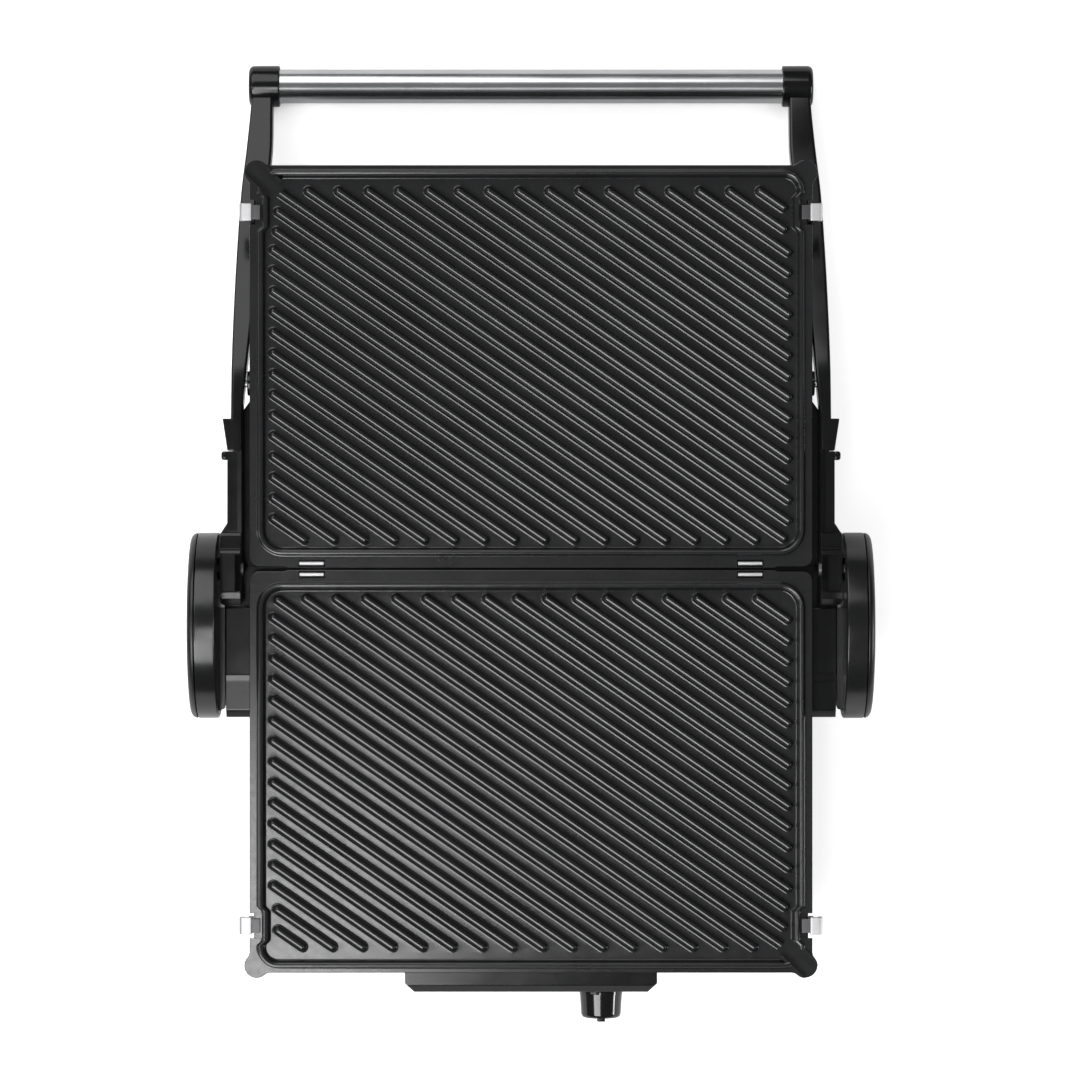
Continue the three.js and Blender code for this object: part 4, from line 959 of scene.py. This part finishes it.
def hubs():
    """Each hub's drum, open where the hinge pin slides, and the disc on its outer side."""
    drum_profile = [
        (0, HUB_X), (50.8, HUB_X), (51.5, 174.65), (51.9, 175.1), (52, 175.7),
        (52, 185.4), (51.85, 185.9), (51.4, 186.1), (0, 186.1),
    ]
    lip_profile = [
        (0, 171.6), (46, 171.6), (46.7, 171.8), (47, 172.3),
        (47.4, 173.6), (48.6, 174.6), (48.6, 176), (0, 176),
    ]
    disc_profile = [
        (0, 186.4), (51.2, 186.4), (51.75, 186.6), *quarter(3.6, 48.3, 186.5, 10),
        (40.4, 190.1), (39.4, 189.95), (38.8, 189.5), (38.0, 189.25), (30, 189.2), (0, 189.2),
    ]
    for side, name in SIDES:
        drum = as_object(f"hub_drum_{name}", mirrored(turned(drum_profile, 128, "x", HUB), side))
        lip = as_object("lip", mirrored(turned(lip_profile, 128, "x", HUB), side))
        bracket_room = [block(160, 190, -21.8, 40, -80, 80), block(160, 190, -120, 40, -3, 80)]
        combined(lip, [mirrored(room, side) for room in bracket_room], "DIFFERENCE")
        combined(drum, [lip], "UNION")
        combined(drum, [mirrored(block(174, 183.6, -6.3, 6.3, -6.8, 24.8), side)], "DIFFERENCE")
        finished(drum, FINISHES["hub_plastic"], "base", [f"hub_housing_{name}"])
        disc = as_object(f"hub_disc_{name}", mirrored(turned(disc_profile, 128, "x", HUB), side))
        finished(disc, COVER, "base", [f"hub_cover_{name}"])


# Side view of the hinge bracket, as (y, z, corner radius)

BRACKET = [
    (66, -2, 0.4), (20.7, -2, 1), (20.2, 1.5, 0.3), (18.7, 2.3, 0.3), (10.9, 2.3, 1), (10.3, 8.2, 0.3),
    (8.8, 9, 0.3), (-13.2, 9, 0.5), (-16.6, 8.5, 0.8), (-20.2, 4, 1.5), (-20.2, -9, 2),
    (-10.1, -14.5, 3), (20.2, -18, 4), (22.2, -20, 2), (66, -20, 0.4),
]


def brackets():
    """Each bracket: a knuckle round the pin, a neck with a fin, a hook, and a tongue in the arm."""
    knuckle_view = [(20.7, -2, 0), *BRACKET[2:-2], (20.7, -18, 0)]
    outer = KNUCKLE_X + 0.1
    plan = filleted([(160, -20.3, 0.5), (outer, -20.3, 3.4), (outer, 30, 0.5), (160, 30, 0.5)], 6)
    flare = [(169, 17), (173.7, 17), (173.7, 20.3), (170, 26), (169, 26)]
    fin = [(BRACKET_X, -4), (164.5, -4), (164.5, -0.8), (162.5, 0), (BRACKET_X, -0.2)]
    slope = [(162.2, 9.1), (165.5, 7.9), (165.5, 12), (162.2, 12)]
    for side, name in SIDES:
        body = mirrored(prism(filleted(BRACKET, 4), "x", BRACKET_X, NECK_X), side)
        body = bevelled(as_object(f"hinge_bracket_{name}_body", body), 0.5, 2, 40)
        knuckle = mirrored(prism(filleted(knuckle_view, 4), "x", BRACKET_X, KNUCKLE_X), side)
        knuckle = as_object("knuckle", knuckle)
        combined(knuckle, [mirrored(prism(plan, "z", -25, 12), side)], "INTERSECT")
        bevelled(knuckle, 0.4, 2, 40)
        hook = as_object("hook", mirrored(block(169.6, 173.6, 61, ARM_REAR - 0.3, -8, -2), side))
        bevelled(hook, 1.4, 3)
        tongue = block(163.5, 167.1, 65.7, 92, -16, -6)
        forms = [prism(flare, "z", -17.5, -2.15), prism(fin, "y", 10.1, 66)]
        forms = [mirrored(form, side) for form in forms]
        combined(body, [knuckle, *forms, hook, mirrored(tongue, side)], "UNION")
        cuts = [
            rod(4.3, 160, 180, 32, "x"),
            block(165.4, 172.9, -13, 8, 5.3, 12),
            prism(slope, "y", -12.4, 8),
        ]
        combined(body, [mirrored(cut, side) for cut in cuts], "DIFFERENCE")
        finished(body, FINISHES["arm_plastic"], "lid", [f"hinge_bracket_{name}"])


# Along the arm: share of its length, then of its way outwards, inwards and down

ARM = [
    [0, 0, 0, 0], [0.16, 0.02, 0.2, 0.08], [0.34, 0.1, 0.42, 0.27], [0.52, 0.24, 0.65, 0.47],
    [0.68, 0.43, 0.85, 0.64], [0.8, 0.69, 1, 0.77], [0.92, 0.9, 1, 0.92], [1, 1, 1, 1],
]


def arm_share(y):
    return (y - ARM_START) / (HANDLE_Y - ARM_START)


def arm_section(share):
    _, outwards, inwards, drop = smooth_rows(ARM, share)
    return {
        "outer": 168.3 + (159.2 - 168.3) * outwards,
        "inner": BRACKET_X + (147.4 - BRACKET_X) * inwards,
        "top": -2 + (HANDLE_Z + 7.5 + 2) * drop,
        "height": 18 - 3 * share,
    }


def arm_ring(share, y):
    section = arm_section(share)
    inner, outer, top = section["inner"], section["outer"], section["top"]
    under = top - section["height"]
    corners = [(inner, under, 1.6), (outer, under, 1.6), (outer, top, 1.6), (inner, top, 1.6)]
    return [(x, y, z) for x, z in filleted(corners, 5)]


def arms():
    """Each arm: a tapered bar from the bracket down to the handle, with a wedge beside the bracket."""
    wedge_plan = [(165.3, ARM_REAR), (NECK_X, ARM_REAR), (172.9, ARM_START), (165.3, ARM_START)]
    shares = [i / 40 for i in range(41)]
    for side, name in SIDES:
        rings = [arm_ring(0, ARM_REAR), arm_ring(0, 75)]
        rings += [arm_ring(share, ARM_START + (HANDLE_Y - ARM_START) * share) for share in shares]
        arm = as_object(f"arm_{name}", mirrored(Form().loft(rings), side))
        wedge = as_object("wedge", mirrored(prism(wedge_plan, "z", -15, -2), side))
        combined(arm, [bevelled(wedge, 0.6, 2)], "UNION")
        cuts = [rod(12.05, 120, 200, 96, "x", HANDLE), block(163.2, 167.4, 60, 92.6, -16.3, -5.7)]
        for y in ARM_SCREWS:
            bottom = arm_section(arm_share(y))["outer"] - 3.2
            profile = [(0, 140), (2.3, 140), (2.3, bottom), (4.1, bottom), (4.1, 190), (0, 190)]
            cuts.append(turned(profile, 32, "x", screw_centre(y)))
        combined(arm, [mirrored(cut, side) for cut in cuts], "DIFFERENCE")
        finished(arm, FINISHES["arm_plastic"], "lid", [f"lid_arm_{name}"])


def handle():
    """The steel tube and the cap at each end, in which the arm ends too."""
    half = 149.4
    profile = [(8.45, -half), (9.35, -half), (9.65, -half + 0.3)]
    profile += [(9.65, half - 0.3), (9.35, half), (8.45, half)]
    tube = as_object("handle_bar", turned(profile, 96, "x", HANDLE, looped=True))
    finished(tube, FINISHES["handle_steel"], "lid", ["handle_tube"])
    profile = [
        (0, 149.7), (9.95, 149.7), (9.95, 144.2), (10.2, 143.7), (11.2, 143.7), (11.6, 144),
        (11.75, 144.5), (11.75, 158.3), *quarter(3, 8.75, 158.3, 15), (0, 161.3),
    ]
    for side, name in SIDES:
        cap = as_object(f"handle_end_{name}", mirrored(turned(profile, 96, "x", HANDLE), side))
        finished(cap, FINISHES["arm_plastic"], "lid", [f"handle_cap_{name}"])


# Control panel, knob and lamps


def control_panel():
    """A hollow box on the front of the base, fitted to its curved wall."""
    side_view = [
        (-210.1, -8, 0), (-210.1, -60, 0), (-233.8, -60, 0.8),
        (-237.8, -56, 1.2), (-237.8, -12, 1.2), (-233.8, -8, 0.8),
    ]
    half, bevel, front = 70.8, 5.2, -237.8
    plan = [(-half, -200), (-half, front + bevel), (bevel - half, front)]
    plan += [(-x, y) for x, y in reversed(plan)]
    panel = as_object("panel", prism(filleted(side_view, 4), "x", -half, half))
    combined(panel, [prism(plan, "z", -62, -6)], "INTERSECT")
    rings = []
    for share in [1 - i / 16 for i in range(17)]:
        inwards = BASE_TAPER * smooth_rows(BASE_SIDES, share)[1] - FIT
        outline = housing_outline(inwards, TOP_RADIUS + (BASE_RADIUS - TOP_RADIUS) * share)
        z = HOUSING_TOP + (HOUSING_BOTTOM - HOUSING_TOP) * share
        rings.append([(x, y, z) for x, y in outline])
    pocket = block(-66, 66, -235.2, -200, -57, -11)
    holes = [rod(3.3, -250, -200, 32, "y", (x, KNOB_Z)) for x in (KNOB_X, *LAMPS.values())]
    combined(panel, [Form().loft(rings), pocket, *holes], "DIFFERENCE")
    bevelled(panel, 0.6, 2, 35)
    finished(panel, FINISHES["body_plastic"], "base", ["control_panel"])


def knob():
    profile = [
        (0, -248.1), (3.3, -248.1), (3.3, -238.1), (11.4, -238.1), (11.9, -238.4), (12.1, -239),
        (12.1, -240.6), (11.9, -241.1), (11.2, -251.8), (10.9, -252.8), (10.2, -253.6), (9.2, -254),
        (8.6, -254.1), (0, -254.1),
    ]
    body = as_object("knob_body", turned(profile, 96, "y", (KNOB_X, KNOB_Z)))
    grip = bevelled(as_object("grip", block(37.3, 41.9, -255.7, -253, -44.1, -23.9)), 0.6, 3)
    combined(body, [grip], "UNION")
    finished(body, FINISHES["knob_gloss"], "knob", ["temperature_knob"])


def lamps():
    profile = [
        (0, -232), (3, -232), (3, -238.1), (2.85, -238.5), (2.4, -238.8), (1.5, -238.95), (0, -239),
    ]
    for node, x in LAMPS.items():
        thing = as_object(node + "_lens", turned(profile, 40, "y", (x, KNOB_Z)))
        finished(thing, FINISHES[SLOT_OF[node]], "base", [node])


# Studio


def soft_box(name, place, aim, width, height, level, piece=None, state="EXCLUDE"):
    """A rectangular lamp with a face of the given brightness.

    It leaves out the one piece that is named, or lights nothing but that piece.
    """
    light = bpy.data.lights.new(name, "AREA")
    light.shape = "RECTANGLE"
    light.size, light.size_y = width, height
    light.energy = level * math.pi * width * height
    thing = placed(name, light)
    thing.location = place
    thing.rotation_euler = (Vector(aim) - Vector(place)).to_track_quat("-Z", "Y").to_euler()
    if piece:
        receivers = bpy.data.collections.new(name + "_receivers")
        thing.light_linking.receiver_collection = receivers
        receivers.objects.link(bpy.data.objects[piece])
        receivers.collection_objects[0].light_linking.link_state = state


def floor_paper():
    """White paper that glows as the background does; the glow fades with ambient occlusion, a painted
    shadow under the grill and beside it.
    """
    material = bpy.data.materials.new("floor_paper")
    material.use_nodes = True
    nodes, links = material.node_tree.nodes, material.node_tree.links
    shader = nodes["Principled BSDF"]
    shader.inputs["Base Color"].default_value = (0.62, 0.62, 0.62, 1)
    shader.inputs["Roughness"].default_value = 0.9
    shader.inputs["Specular IOR Level"].default_value = 0.0
    shader.inputs["Emission Color"].default_value = (1, 1, 1, 1)
    path = nodes.new("ShaderNodeLightPath")
    seen = path.outputs["Is Camera Ray"]
    for ray, amount in (("Is Glossy Ray", 0.25), ("Is Transmission Ray", 1)):
        total = nodes.new("ShaderNodeMath")
        total.operation = "MULTIPLY_ADD"
        total.inputs[1].default_value = amount
        links.new(path.outputs[ray], total.inputs[0])
        links.new(seen, total.inputs[2])
        seen = total.outputs[0]
    # Ambient occlusion dims the paper's glow: painted shadow under and close to the grill.
    cover = nodes.new("ShaderNodeAmbientOcclusion")
    cover.inputs["Distance"].default_value = 0.12
    painted_shadow_fade = nodes.new("ShaderNodeMapRange")
    painted_shadow_fade.interpolation_type = "SMOOTHSTEP"
    painted_shadow_fade.inputs["From Min"].default_value = 0.08
    painted_shadow_fade.inputs["From Max"].default_value = 0.34
    painted_shadow_fade.inputs["To Max"].default_value = 0.8
    links.new(cover.outputs["AO"], painted_shadow_fade.inputs["Value"])
    amount = nodes.new("ShaderNodeMath")
    amount.operation = "MULTIPLY"
    links.new(seen, amount.inputs[0])
    links.new(painted_shadow_fade.outputs["Result"], amount.inputs[1])
    links.new(amount.outputs[0], shader.inputs["Emission Strength"])
    return material


def studio():
    outline = rounded(3000, 3000, -3000, 200, 200, 6)
    floor = as_object("floor", prism(outline, "z", TABLE_Z - 20, TABLE_Z))
    floor.data.materials.append(floor_paper())

    world = bpy.data.worlds.new("studio_world")
    world.use_nodes = True
    world.node_tree.nodes["Background"].inputs["Color"].default_value = (1, 1, 1, 1)
    world.node_tree.nodes["Background"].inputs["Strength"].default_value = 0.12
    bpy.context.scene.world = world

    bar, above = "handle_bar", (0.2, 0.55, 0)
    soft_box("near_box", (-0.29, -0.6, 3.1), (-0.29, -0.6, 0), 0.3, 0.74, 12.0, bar)
    soft_box("front_box", (-1.4, -2.05, 3.1), (-1.4, -2.05, 0), 2.26, 2.1, 9.0, bar)
    soft_box("left_strip", (-2.4, -0.3, 2.75), (0, -0.3, 0.08), 0.5, 2.0, 4.0)
    soft_box("top_box", (0.2, 0.55, 3.4), above, 3.2, 2.9, 0.06)
    soft_box("handle_fill", (0.2, 0.55, 3.4), above, 3.2, 2.9, 0.22, bar, "INCLUDE")
    soft_box("back_wall", (-1.35, 2.62, 2.65), (0, 0, 0.08), 3.2, 3.2, 2.6)
    soft_box("right_strip", (3.0, -0.5, 0.6), (0, 0, 0.08), 1.2, 0.4, 16.0)
    soft_box("handle_top_strip", (0, -0.85, 3.1), (0, -0.85, 0), 4, 0.5, 1.3, bar, "INCLUDE")
    soft_box("handle_front_strip", (0, -2.53, 1.95), (0, 0.26, 0.01), 4, 0.8, 1.0, bar, "INCLUDE")


PHOTO_SIZE = 1080


def camera():
    """The camera straight above, with a long lens and the photo's framing."""
    lens_data = bpy.data.cameras.new("camera")
    lens_data.lens = 178.6
    lens_data.sensor_width = 36
    lens_data.sensor_fit = "HORIZONTAL"
    lens_data.shift_x = 9 / PHOTO_SIZE
    lens_data.shift_y = 5 / PHOTO_SIZE
    thing = placed("camera", lens_data)
    thing.location = (0, -0.0026, 3.08)
    bpy.context.scene.camera = thing


grill_plates()
plate_fittings("lower", "base")
plate_fittings("upper", "lid")
base_housing()
lid_housing()
lid_cover()
bottom_cover()
feet()
hubs()
brackets()
arms()
handle()
control_panel()
knob()
lamps()
studio()
camera()
bpy.context.scene.view_settings.view_transform = "Standard"
